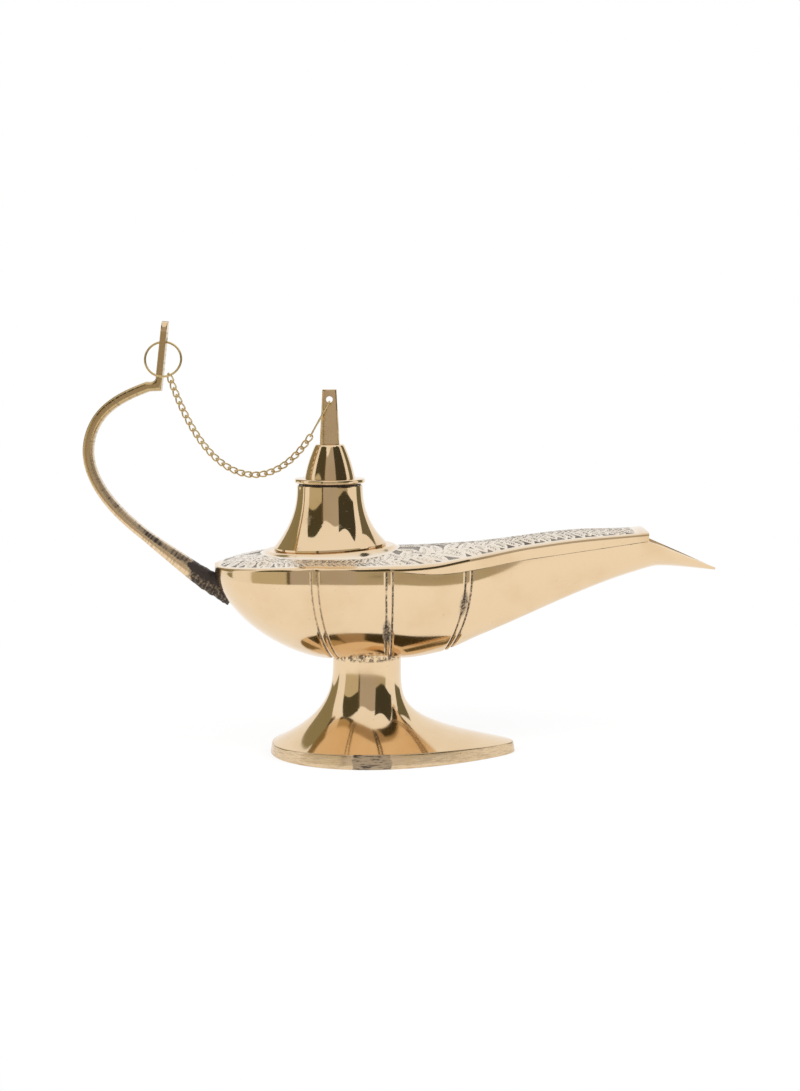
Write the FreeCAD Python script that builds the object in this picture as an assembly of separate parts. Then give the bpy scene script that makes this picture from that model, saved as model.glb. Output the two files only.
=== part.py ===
import FreeCAD, Part
import math
import os

# Footed brass oil lamp with a chained lid, in millimetres, +Z up.
# It is drawn with Z = 0 on the surface that it stands on and X = 0 at the middle of its stem,
# and every piece is then moved along X so that the origin lies under the middle of the whole lamp.
# The spout points along +X, the handle is on the -X side, and Y = 0 is the plane of symmetry.

Vector = FreeCAD.Vector

# Foot: a hollow trumpet casting on a teardrop rim
FOOT_REAR_REACH = 39.3
FOOT_TIP_REACH = 60.2
FOOT_HALF_WIDTH = 34.5
FOOT_TIP_POINTEDNESS = 0.45
FOOT_RIM_HEIGHT = 4.4
FOOT_RIM_DRAFT = 1.0
FOOT_WALL = 3.0
STEM_RADIUS = 13.8
REAR_FLARE = 2.9
TIP_FLARE = 4.6

# Bowl and spout: one fluted casting, open at the top and at the lip
BOWL_BASE_HEIGHT = 38.9
BOWL_DEPTH = 39.6
BOWL_REAR_REACH = 61.3
BOWL_REAR_DROP = 2.6
BOWL_REAR_FULLNESS = 1.65
BOWL_HALF_WIDTH = 41.0
BOWL_WIDEST_X = -20.0
BOWL_WALL = 2.2
SPOUT_ROOT_X = 66.0
SPOUT_HALF_WIDTH = 14.0
SPOUT_LENGTH = 46.0
LIP_LENGTH = 28.8
LIP_TIP_DROP = 12.1
LIP_TIP_THICKNESS = 0.8
LIP_TIP_LAND = 4.4
LIP_FULLNESS = 1.5

# The rim's rise and fall from the bowl's rim height: a dip ahead of the spout, then a climb along it
RIM_MIDDLE_DROP = 0.9
RIM_DIP_X = 30.6
RIM_DIP = 2.8
SPOUT_ROOT_RISE = 2.2
SPOUT_RIM_RISE = 9.1

# The underside's rise ahead of the stem, and its slight hollow and crest under the lip
BELLY_LENGTH = 15.0
BELLY_RISE = 2.2
CHIN_LENGTH = 32.0
CHIN_RISE = 9.2
LIP_HOLLOW_SETBACK = 4.0
LIP_HOLLOW_DROP = 0.6
LIP_CREST_ADVANCE = 6.0
LIP_CREST_RISE = 1.8

# Flutes: each one's place on the rim, and where it ends under the bowl
FLUTE_DEPTH = 1.6
FLUTE_SPREAD = 6.0
FLUTES = [(-19.4, -11.8), (9.4, 8.6), (40.6, 32.2)]

# Deck: the top plate with the roof of the spout, by the height of its edge above the rim
DECK_WALL = 2.2
DECK_REAR_EDGE = 1.2
DECK_BOWL_EDGE = 1.3
DECK_WAIST_EDGE = 4.8
DECK_ROOF_EDGE = 5.2
DECK_ROOF_EDGE_ADVANCE = 10.0
DECK_SPOUT_EDGE = 3.4

# The deck's middle line, from the rear over the neck's seat to the end of the roof
DECK_CROWN_RISE = 5.5
DECK_REAR_CROWN = 0.4
DECK_SHOULDER_LENGTH = 12.0
DECK_SHOULDER_DROP = 3.2
DECK_REAR_SEAT_DROP = 1.4
DECK_FRONT_SEAT_RISE = 0.2
DECK_WAIST_SETBACK = 26.0
DECK_WAIST_RISE = 1.9
ROOF_CROWN_ADVANCE = 25.0
ROOF_CROWN_RISE = 3.6
ROOF_END_CROWN = 0.3

# Neck: a turned bell, brazed on the deck's flat seat
NECK_X = -14.8
NECK_BASE_RADIUS = 22.6
NECK_TOP_RADIUS = 13.2
NECK_HEIGHT = 25.1
NECK_FLARE = 2.35
NECK_WALL = 2.2
NECK_FOOT_THICKNESS = 1.0
NECK_SEAT_BORDER = 1.0
NECK_SEAT_DEPTH = 4.0

# Lid: a turned cone with a flange, a plug and a flat tang
PLUG_DEPTH = 7.0
PLUG_CLEARANCE = 0.4
LID_SEAT_INSET = 0.8
LID_GAP = 0.8
FLANGE_OVERHANG = 0.9
FLANGE_THICKNESS = 1.8
CONE_FOOT_RADIUS = 10.1
CONE_TOP_RADIUS = 5.8
CONE_HEIGHT = 13.4
CONE_BULGE = 0.5
TANG_HEIGHT = 22.2
TANG_FOOT_WIDTH = 8.2
TANG_TOP_WIDTH = 5.7
TANG_THICKNESS = 3.0
TANG_ROOT = 2.0
TANG_CORNER_FILLET = 0.8
TANG_HOLE_DIAMETER = 2.6
TANG_HOLE_FROM_TOP = 4.0

# Handle: a cast strap with an upright finial at its end, its line measured from the bowl's stern
HANDLE_WIDTH = 7.6
HANDLE_THICKNESS = 4.2
HANDLE_ROOT_THICKNESS = 9.6
HANDLE_ROOT_LENGTH = 42.0
HANDLE_EDGE_FILLET = 1.0
HANDLE_LINE = [
    (7.3, -11.3), (-2.9, -5.6), (-17.3, 4.7), (-31.7, 15.9), (-43.7, 28.5),
    (-50.3, 46.1), (-45.3, 60.7), (-35.7, 68.3), (-22.3, 73.8),
]
FINIAL_FOOT_ADVANCE = 0.4
FINIAL_FOOT_DROP = 2.9
FINIAL_LEAN = 3.2
FINIAL_HEIGHT = 27.6
FINIAL_WIDTH = 6.8
FINIAL_FOOT_THICKNESS = 2.8
FINIAL_TOP_THICKNESS = 2.0
FINIAL_HOLE_DIAMETER = 2.6
FINIAL_HOLE_FROM_TOP = 7.6

# Ring: plain wire, hung through the finial's hole
RING_WIRE_DIAMETER = 0.9
RING_DIAMETER = 14.4
RING_CLEARANCE = 0.2
RING_TILT = math.radians(18.0)
RING_CHAIN_ANGLE = math.radians(21.0)

# Hook: bent wire through the tang's hole, with the free gaps before and behind the tang
HOOK_WIRE_DIAMETER = 0.7
HOOK_CLEARANCE = 0.1
HOOK_BEND_RADIUS = 1.0
HOOK_DROP = 13.8
HOOK_REACH = 7.6
HOOK_FRONT_GAP = 2.75
HOOK_BACK_GAP = 0.85
HOOK_TAIL = 10.0
HOOK_TIP = 1.6

# Chain: curb links, each twisted so that they lie flat, longer than the way between ring and hook
CHAIN_SLACK = 1.36
LINK_PITCH = 3.0
LINK_HALF_LENGTH = 2.0
LINK_HALF_WIDTH = 1.12
LINK_TWIST = 0.45
LINK_ROLL = math.radians(28.0)
LINK_WIRE_DIAMETER = 0.64
LINK_CLEARANCE = 0.12

# How finely the formed surfaces are sectioned
FOOT_SECTION_COUNT = 10
FOOT_SECTION_EASING = 1.5
BOWL_STEP_COUNT = 6
REAR_SECTION_COUNT = 7
LOBE_SECTION_COUNT = 5
SPOUT_SECTION_COUNT = 7
LIP_SECTION_COUNT = 5
NECK_SECTION_COUNT = 12
HANDLE_SECTION_COUNT = 18
OUTLINE_POINT_COUNT = 24
LINK_BEND_COUNT = 3
HANG_STEP_COUNT = 100
HANG_LIMIT = 20.0
CUT_MARGIN = 5.0

# Heights and places that follow from the sizes above
BOWL_RIM_HEIGHT = BOWL_BASE_HEIGHT + BOWL_DEPTH
BOWL_REAR_HEIGHT = BOWL_RIM_HEIGHT - BOWL_REAR_DROP
SPOUT_RIM_HEIGHT = BOWL_RIM_HEIGHT + SPOUT_RIM_RISE
SPOUT_END_X = SPOUT_ROOT_X + SPOUT_LENGTH
LIP_TIP_X = SPOUT_END_X + LIP_LENGTH
LIP_TIP_HEIGHT = SPOUT_RIM_HEIGHT - LIP_TIP_DROP
DECK_CROWN_HEIGHT = BOWL_RIM_HEIGHT + DECK_CROWN_RISE
NECK_TOP_HEIGHT = DECK_CROWN_HEIGHT + NECK_HEIGHT
FLANGE_BOTTOM_HEIGHT = NECK_TOP_HEIGHT + LID_GAP
FLANGE_TOP_HEIGHT = FLANGE_BOTTOM_HEIGHT + FLANGE_THICKNESS
CONE_TOP_HEIGHT = FLANGE_TOP_HEIGHT + CONE_HEIGHT
TANG_TOP_HEIGHT = CONE_TOP_HEIGHT + TANG_HEIGHT
TANG_HOLE_HEIGHT = TANG_TOP_HEIGHT - TANG_HOLE_FROM_TOP
HOOK_FRONT_Y = -TANG_THICKNESS / 2 - HOOK_FRONT_GAP - HOOK_WIRE_DIAMETER / 2
HOOK_BACK_Y = TANG_THICKNESS / 2 + HOOK_BACK_GAP + HOOK_WIRE_DIAMETER / 2
HANDLE_PATH = [Vector(x - BOWL_REAR_REACH, 0, z + BOWL_REAR_HEIGHT) for x, z in HANDLE_LINE]
FINIAL_FOOT_X = HANDLE_PATH[-1].x + FINIAL_FOOT_ADVANCE
FINIAL_TOP_X = FINIAL_FOOT_X + FINIAL_LEAN
FINIAL_FOOT_HEIGHT = HANDLE_PATH[-1].z - FINIAL_FOOT_DROP
FINIAL_TOP_HEIGHT = FINIAL_FOOT_HEIGHT + FINIAL_HEIGHT
FINIAL_HOLE_HEIGHT = FINIAL_TOP_HEIGHT - FINIAL_HOLE_FROM_TOP
FINIAL_HOLE_X = FINIAL_TOP_X - FINIAL_LEAN * FINIAL_HOLE_FROM_TOP / FINIAL_HEIGHT


def smooth_line(points, x):
    """Height of the smooth line through (x, height) points that rises and falls only where they do."""
    count = len(points)
    slopes = []
    for i in range(count - 1):
        run = points[i + 1][0] - points[i][0]
        slopes.append((points[i + 1][1] - points[i][1]) / run)
    tangents = [slopes[0]]
    for before, after in zip(slopes, slopes[1:]):
        same_way = before * after > 0
        tangents.append(2 * before * after / (before + after) if same_way else 0.0)
    tangents.append(slopes[-1])
    i = 0
    while i < count - 2 and x > points[i + 1][0]:
        i += 1
    run = points[i + 1][0] - points[i][0]
    t = (x - points[i][0]) / run
    rise = points[i][1] * (1 + 2 * t) * (1 - t) ** 2 + points[i + 1][1] * t * t * (3 - 2 * t)
    return rise + run * (tangents[i] * t * (1 - t) ** 2 - tangents[i + 1] * t * t * (1 - t))


def spread(first, last, count):
    """Evenly spaced values from first to last."""
    return [first + (last - first) * i / (count - 1) for i in range(count)]


def curve(points):
    """A smooth edge through points."""
    line = Part.BSplineCurve()
    line.interpolate(points)
    return line.toShape()


def arc(start, middle, end):
    return Part.Arc(start, middle, end).toShape()


def segment(start, end):
    return Part.LineSegment(start, end).toShape()


def revolved(edges, x):
    """A solid turned about the vertical axis at x, from the edges of its half section."""
    face = Part.Face(Part.Wire(edges))
    return face.revolve(Vector(x, 0, 0), Vector(0, 0, 1), 360)


def biarc(start, start_way, end, end_way):
    """Two tangent arcs from start to end that leave and arrive along the given ways."""
    chord = end - start
    along = chord.dot(start_way + end_way)
    turn = 2 * (1 - start_way.dot(end_way))
    reach = (math.sqrt(along * along + turn * chord.dot(chord)) - along) / turn
    near = start + start_way * reach
    far = end - end_way * reach
    middle = (near + far) * 0.5
    middle_way = (far - near).normalize()
    return [
        tangent_arc(start, start_way, middle),
        tangent_arc(middle, middle_way, end),
    ]


def tangent_arc(start, way, end):
    """The arc that leaves start along way and reaches end."""
    chord = end - start
    inward = way.cross(chord).cross(way).normalize()
    radius = chord.dot(chord) / (2 * inward.dot(chord))
    centre = start + inward * radius
    outward = ((start + end) * 0.5 - centre).normalize()
    return arc(start, centre + outward * radius, end)


def wire_solid(edges, diameter):
    """Round wire along a path of tangent edges."""
    path = Part.Wire(edges)
    start = edges[0].valueAt(edges[0].FirstParameter)
    way = edges[0].tangentAt(edges[0].FirstParameter)
    section = Part.Wire([Part.makeCircle(diameter / 2, start, way)])
    return path.makePipeShell([section], True, False)


def bent_path(corners, radius):
    """Straight runs through corners, with a bend of one radius at each, up to the last corner."""
    edges = []
    start = corners[0]
    for before, corner, after in zip(corners, corners[1:], corners[2:]):
        way_in = (corner - before).normalize()
        way_out = (after - corner).normalize()
        setback = radius * math.tan(way_in.getAngle(way_out) / 2)
        bend_start = corner - way_in * setback
        bend_end = corner + way_out * setback
        edges += [segment(start, bend_start), tangent_arc(bend_start, way_in, bend_end)]
        start = bend_end
    return edges + [segment(start, corners[-1])]


def teardrop(rear, tip, half_width, pointedness, height):
    """A closed level outline, round at the back and drawn out to a tip in front."""
    points = []
    for i in range(OUTLINE_POINT_COUNT):
        turn = 2 * math.pi * i / OUTLINE_POINT_COUNT
        ahead = math.cos(turn)
        reach = tip if ahead > 0 else rear
        narrowing = 1 - pointedness * max(ahead, 0) ** 2
        points.append(Vector(reach * ahead, half_width * math.sin(turn) * narrowing, height))
    line = Part.BSplineCurve()
    line.interpolate(points, PeriodicFlag=True)
    return Part.Wire([line.toShape()])


def flare(edge, core, share, power):
    """Reach of a trumpet from its edge to its core, at a share of its height."""
    return core + (edge - core) * (1 - share) ** power


def trumpet(skin, bottom, top, above):
    """The flared solid between the foot's rim and the stem, drawn in by skin and carried up by above."""
    core = STEM_RADIUS - skin
    levels = []
    for share in spread(0.0, 1.0, FOOT_SECTION_COUNT):
        eased = share ** FOOT_SECTION_EASING
        rear = flare(FOOT_REAR_REACH - FOOT_RIM_DRAFT - skin, core, eased, REAR_FLARE)
        tip = flare(FOOT_TIP_REACH - FOOT_RIM_DRAFT - skin, core, eased, TIP_FLARE)
        side = flare(FOOT_HALF_WIDTH - FOOT_RIM_DRAFT - skin, core, eased, REAR_FLARE)
        point = FOOT_TIP_POINTEDNESS * (1 - eased) ** TIP_FLARE
        levels.append(teardrop(rear, tip, side, point, bottom + (top - bottom) * eased))
    if above:
        levels.append(teardrop(core, core, core, 0.0, top + above))
    return Part.makeLoft(levels, True)


def foot_rim(skin, bottom, top):
    """The drafted band round the foot, drawn in by skin."""
    lower = teardrop(
        FOOT_REAR_REACH - skin, FOOT_TIP_REACH - skin, FOOT_HALF_WIDTH - skin,
        FOOT_TIP_POINTEDNESS, bottom,
    )
    inset = skin + FOOT_RIM_DRAFT
    upper = teardrop(
        FOOT_REAR_REACH - inset, FOOT_TIP_REACH - inset, FOOT_HALF_WIDTH - inset,
        FOOT_TIP_POINTEDNESS, top,
    )
    return Part.makeLoft([lower, upper], True)


def make_foot(bowl_solid):
    """The foot's casting, hollow underneath, with its stem shaped to the bowl."""
    stem = trumpet(0.0, FOOT_RIM_HEIGHT, BOWL_BASE_HEIGHT, CUT_MARGIN)
    hollow_rim = foot_rim(FOOT_WALL, 0.0, FOOT_RIM_HEIGHT - FOOT_WALL)
    hollow = trumpet(FOOT_WALL, FOOT_RIM_HEIGHT - FOOT_WALL, BOWL_BASE_HEIGHT - FOOT_WALL, 0.0)
    body = foot_rim(0.0, 0.0, FOOT_RIM_HEIGHT).fuse(stem)
    return body.cut(hollow_rim).cut(hollow).cut(bowl_solid)


def rim_height(x):
    """Height of the bowl's rim, where the deck is brazed on, and of the lip beyond it."""
    if x > SPOUT_END_X:
        share = (x - SPOUT_END_X) / (LIP_TIP_X - SPOUT_END_X)
        return SPOUT_RIM_HEIGHT - LIP_TIP_DROP * share
    line = [
        (-BOWL_REAR_REACH, BOWL_REAR_HEIGHT),
        (BOWL_WIDEST_X, BOWL_RIM_HEIGHT),
        (FLUTES[1][0], BOWL_RIM_HEIGHT - RIM_MIDDLE_DROP),
        (RIM_DIP_X, BOWL_RIM_HEIGHT - RIM_DIP),
        (SPOUT_ROOT_X, BOWL_RIM_HEIGHT + SPOUT_ROOT_RISE),
        (SPOUT_END_X, SPOUT_RIM_HEIGHT),
    ]
    return smooth_line(line, x)


def rim_half_width(x, skin):
    """Half width of the rim at x, drawn in by skin, with a crease at each flute."""
    if x < BOWL_WIDEST_X:
        share = (BOWL_WIDEST_X - x) / (BOWL_REAR_REACH + BOWL_WIDEST_X - skin)
        half = (BOWL_HALF_WIDTH - skin) * math.sqrt(max(0.0, 1 - share * share))
    elif x < SPOUT_ROOT_X:
        share = (x - BOWL_WIDEST_X) / (SPOUT_ROOT_X - BOWL_WIDEST_X)
        swell = 0.5 + 0.5 * math.cos(math.pi * share)
        half = SPOUT_HALF_WIDTH + (BOWL_HALF_WIDTH - SPOUT_HALF_WIDTH) * swell - skin
    else:
        share = max(0.0, (x - SPOUT_END_X) / (LIP_TIP_X - SPOUT_END_X))
        half = SPOUT_HALF_WIDTH * (1 - share ** LIP_FULLNESS) - skin
    crease = sum(math.exp(-abs(x - rim) / FLUTE_SPREAD) for rim, keel in FLUTES)
    return half * (1 - FLUTE_DEPTH * crease / BOWL_HALF_WIDTH)


def keel_height(x, skin):
    """Height along the middle of the bowl, the spout and the lip, drawn in by skin from the underside."""
    if x < -STEM_RADIUS:
        base = BOWL_BASE_HEIGHT + skin
        share = min(1.0, (-x - STEM_RADIUS) / (BOWL_REAR_REACH - skin - STEM_RADIUS))
        rise = 1 - (1 - share ** BOWL_REAR_FULLNESS) ** (1 / BOWL_REAR_FULLNESS)
        return base + (BOWL_REAR_HEIGHT - base) * rise
    tip = LIP_TIP_HEIGHT - LIP_TIP_THICKNESS
    line = [
        (-STEM_RADIUS, BOWL_BASE_HEIGHT),
        (STEM_RADIUS, BOWL_BASE_HEIGHT),
        (STEM_RADIUS + BELLY_LENGTH, BOWL_BASE_HEIGHT + BELLY_RISE),
        (STEM_RADIUS + CHIN_LENGTH, BOWL_BASE_HEIGHT + CHIN_RISE),
        (SPOUT_END_X - LIP_HOLLOW_SETBACK, tip - LIP_HOLLOW_DROP),
        (SPOUT_END_X + LIP_CREST_ADVANCE, tip + LIP_CREST_RISE),
        (LIP_TIP_X, tip),
    ]
    return smooth_line(line, x) + skin


def keel_x(x):
    """Where the section that meets the rim at x meets the keel: the sections fan out from the stem."""
    line = [(-BOWL_REAR_REACH, -BOWL_REAR_REACH)] + FLUTES + [(LIP_TIP_X, LIP_TIP_X)]
    i = 0
    while i < len(line) - 2 and x > line[i + 1][0]:
        i += 1
    (rim_a, keel_a), (rim_b, keel_b) = line[i], line[i + 1]
    return keel_a + (keel_b - keel_a) * (x - rim_a) / (rim_b - rim_a)


def bowl_section(x, skin, above):
    """A closed section of the bowl's form at a rim place, drawn in by skin and carried up by above."""
    half = rim_half_width(x, skin)
    rim = rim_height(x)
    keel = Vector(keel_x(x), 0, keel_height(keel_x(x), skin))
    points = []
    for turn in spread(-math.pi / 2, math.pi / 2, 2 * BOWL_STEP_COUNT + 1):
        share = 1 - math.cos(turn)
        across = half * math.sin(turn)
        points.append(Vector(keel.x + (x - keel.x) * share, across, keel.z + (rim - keel.z) * share))
    edges = [curve(points)]
    near, far = points[0], points[-1]
    if above:
        upward = Vector(x - keel.x, 0, rim - keel.z) * (above / (rim - keel.z))
        near, far = near + upward, far + upward
        edges = [segment(near, points[0])] + edges + [segment(points[-1], far)]
    return Part.Wire(edges + [segment(far, near)])


def rim_places(skin):
    """The lengthwise places of the sections: rear lobe, two side lobes and the spout, drawn in by skin."""
    first, second, third = [rim for rim, keel in FLUTES]
    rear = skin - BOWL_REAR_REACH
    lobe = [rear + (first - rear) * (1 - math.cos(t)) for t in spread(0, math.pi / 2, REAR_SECTION_COUNT)]
    return [
        lobe[1:],
        spread(first, second, LOBE_SECTION_COUNT),
        spread(second, third, LOBE_SECTION_COUNT),
        spread(third, SPOUT_END_X, SPOUT_SECTION_COUNT),
    ]


def bowl_form(skin, above):
    """The bowl's whole form, drawn in by skin, with its open top carried up by above."""
    rear, *lobes = rim_places(skin)
    stern = Vector(-BOWL_REAR_REACH, 0, BOWL_REAR_HEIGHT)
    rear_sections = [bowl_section(x, skin, above) for x in rear]
    if not skin:
        rear_sections.insert(0, Part.Vertex(stern))
    pieces = [Part.makeLoft(rear_sections, True)]
    for places in lobes:
        pieces.append(Part.makeLoft([bowl_section(x, skin, above) for x in places], True))
    tip_x = LIP_TIP_X - LIP_TIP_LAND if skin else LIP_TIP_X
    places = spread(SPOUT_END_X, tip_x, LIP_SECTION_COUNT)
    tip = Vector(tip_x, 0, rim_height(tip_x) + above)
    lip = [bowl_section(x, skin, above) for x in places[:-1]] + [Part.Vertex(tip)]
    pieces.append(Part.makeLoft(lip, True))
    return pieces[0].fuse(pieces[1:])


def deck_edge_height(x):
    """Height of the deck's upper edge above the rim it is brazed to."""
    line = [
        (-BOWL_REAR_REACH, DECK_REAR_EDGE),
        (FLUTES[1][0], DECK_BOWL_EDGE),
        (FLUTES[2][0], DECK_WAIST_EDGE),
        (SPOUT_ROOT_X + DECK_ROOF_EDGE_ADVANCE, DECK_ROOF_EDGE),
        (SPOUT_END_X, DECK_SPOUT_EDGE),
    ]
    return rim_height(x) + smooth_line(line, x)


def deck_crown_height(x):
    """Height of the deck along its middle line."""
    line = [
        (-BOWL_REAR_REACH, BOWL_REAR_HEIGHT + DECK_REAR_EDGE + DECK_REAR_CROWN),
        (DECK_SHOULDER_LENGTH - BOWL_REAR_REACH, DECK_CROWN_HEIGHT - DECK_SHOULDER_DROP),
        (NECK_X - NECK_BASE_RADIUS, DECK_CROWN_HEIGHT - DECK_REAR_SEAT_DROP),
        (NECK_X, DECK_CROWN_HEIGHT),
        (NECK_X + NECK_BASE_RADIUS, DECK_CROWN_HEIGHT + DECK_FRONT_SEAT_RISE),
        (SPOUT_ROOT_X - DECK_WAIST_SETBACK, DECK_CROWN_HEIGHT + DECK_WAIST_RISE),
        (SPOUT_ROOT_X + ROOF_CROWN_ADVANCE, SPOUT_RIM_HEIGHT + ROOF_CROWN_RISE),
        (SPOUT_END_X, deck_edge_height(SPOUT_END_X) + ROOF_END_CROWN),
    ]
    return smooth_line(line, x)


def deck_section(x, skin, below):
    """A closed upright section of the deck's form, drawn in by skin and carried down by below."""
    half = rim_half_width(x, skin)
    floor = rim_height(x) - below
    edge = deck_edge_height(x) - skin
    crown = deck_crown_height(x) - skin
    near, far = Vector(x, -half, floor), Vector(x, half, floor)
    near_top, far_top = Vector(x, -half, edge), Vector(x, half, edge)
    return Part.Wire([
        segment(near, near_top),
        arc(near_top, Vector(x, 0, crown), far_top),
        segment(far_top, far),
        segment(far, near),
    ])


def deck_form(skin, below):
    """The deck's whole form, drawn in by skin and carried down by below."""
    rear, *lobes = rim_places(skin)
    stern = Vector(-BOWL_REAR_REACH, 0, BOWL_REAR_HEIGHT)
    rear_sections = [deck_section(x, skin, below) for x in rear]
    if not skin:
        rear_sections.insert(0, Part.Vertex(stern))
    pieces = [Part.makeLoft(rear_sections, True)]
    for places in lobes:
        pieces.append(Part.makeLoft([deck_section(x, skin, below) for x in places], True))
    return pieces[0].fuse(pieces[1:])


def make_deck():
    """The deck's shell, with a flat seat for the neck, a filler bore and the open end of the spout."""
    end = Part.makeBox(
        CUT_MARGIN, 2 * SPOUT_HALF_WIDTH, deck_crown_height(SPOUT_END_X) + CUT_MARGIN,
        Vector(SPOUT_END_X, -SPOUT_HALF_WIDTH, 0),
    )
    seat_bottom = DECK_CROWN_HEIGHT - NECK_SEAT_DEPTH
    seat = Part.makeCylinder(
        NECK_BASE_RADIUS + NECK_SEAT_BORDER, NECK_SEAT_DEPTH, Vector(NECK_X, 0, seat_bottom)
    )
    clear = Part.makeCylinder(
        NECK_BASE_RADIUS + NECK_SEAT_BORDER, CUT_MARGIN, Vector(NECK_X, 0, DECK_CROWN_HEIGHT)
    )
    bore = Part.makeCylinder(
        NECK_BASE_RADIUS - NECK_WALL, NECK_SEAT_DEPTH + CUT_MARGIN,
        Vector(NECK_X, 0, seat_bottom - CUT_MARGIN),
    )
    shell = deck_form(0.0, 0.0).cut(deck_form(DECK_WALL, CUT_MARGIN))
    return shell.fuse(seat).cut([clear, bore, end])


def neck_outline(skin, bottom):
    """Points up the bell's side, drawn in by skin, from bottom to its rim."""
    points = []
    for share in spread(0.0, 1.0, NECK_SECTION_COUNT):
        radius = flare(NECK_BASE_RADIUS, NECK_TOP_RADIUS, share, NECK_FLARE) - skin
        points.append(Vector(NECK_X + radius, 0, bottom + (NECK_TOP_HEIGHT - bottom) * share))
    return points


def make_neck():
    """The turned bell, of even wall, on a thin flat foot."""
    outside = neck_outline(0.0, DECK_CROWN_HEIGHT + NECK_FOOT_THICKNESS)
    inside = neck_outline(NECK_WALL, DECK_CROWN_HEIGHT + NECK_FOOT_THICKNESS)
    outer_foot = Vector(outside[0].x, 0, DECK_CROWN_HEIGHT)
    inner_foot = Vector(inside[0].x, 0, DECK_CROWN_HEIGHT)
    edges = [
        segment(inner_foot, outer_foot),
        segment(outer_foot, outside[0]),
        curve(outside),
        segment(outside[-1], inside[-1]),
        curve(inside[::-1]),
        segment(inside[0], inner_foot),
    ]
    return revolved(edges, NECK_X)


def make_lid():
    """The turned lid: plug, seat, flange and cone in one, with the flat drilled tang on top."""
    plug = NECK_TOP_RADIUS - NECK_WALL - PLUG_CLEARANCE
    plug_bottom = NECK_TOP_HEIGHT - PLUG_DEPTH
    seat = NECK_TOP_RADIUS - LID_SEAT_INSET
    flange = NECK_TOP_RADIUS + FLANGE_OVERHANG
    outline = [
        (0.0, plug_bottom), (plug, plug_bottom), (plug, NECK_TOP_HEIGHT), (seat, NECK_TOP_HEIGHT),
        (seat, FLANGE_BOTTOM_HEIGHT), (flange, FLANGE_BOTTOM_HEIGHT), (flange, FLANGE_TOP_HEIGHT),
        (CONE_FOOT_RADIUS, FLANGE_TOP_HEIGHT),
    ]
    corners = [Vector(NECK_X + radius, 0, height) for radius, height in outline]
    edges = [segment(a, b) for a, b in zip(corners, corners[1:])]
    shoulder = Vector(NECK_X + CONE_TOP_RADIUS, 0, CONE_TOP_HEIGHT)
    middle = (corners[-1] + shoulder) * 0.5 + Vector(CONE_BULGE, 0, 0)
    top = Vector(NECK_X, 0, CONE_TOP_HEIGHT)
    edges += [arc(corners[-1], middle, shoulder), segment(shoulder, top), segment(top, corners[0])]
    body = revolved(edges, NECK_X)

    front = -TANG_THICKNESS / 2
    foot = CONE_TOP_HEIGHT - TANG_ROOT
    left_foot = Vector(NECK_X - TANG_FOOT_WIDTH / 2, front, foot)
    right_foot = Vector(NECK_X + TANG_FOOT_WIDTH / 2, front, foot)
    right_top = Vector(NECK_X + TANG_TOP_WIDTH / 2, front, TANG_TOP_HEIGHT)
    left_top = Vector(NECK_X - TANG_TOP_WIDTH / 2, front, TANG_TOP_HEIGHT)
    sides = Part.makePolygon([left_foot, right_foot, right_top, left_top, left_foot])
    tang = Part.Face(sides).extrude(Vector(0, TANG_THICKNESS, 0))
    tang = tang.makeFillet(TANG_CORNER_FILLET, [
        edge for edge in tang.Edges if edge.BoundBox.ZMin > TANG_TOP_HEIGHT - TANG_CORNER_FILLET
        and edge.BoundBox.YLength > TANG_THICKNESS / 2
    ])
    hole = Part.makeCylinder(
        TANG_HOLE_DIAMETER / 2, TANG_THICKNESS,
        Vector(NECK_X, front, TANG_HOLE_HEIGHT), Vector(0, 1, 0),
    )
    return body.fuse(tang).cut(hole)


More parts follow.
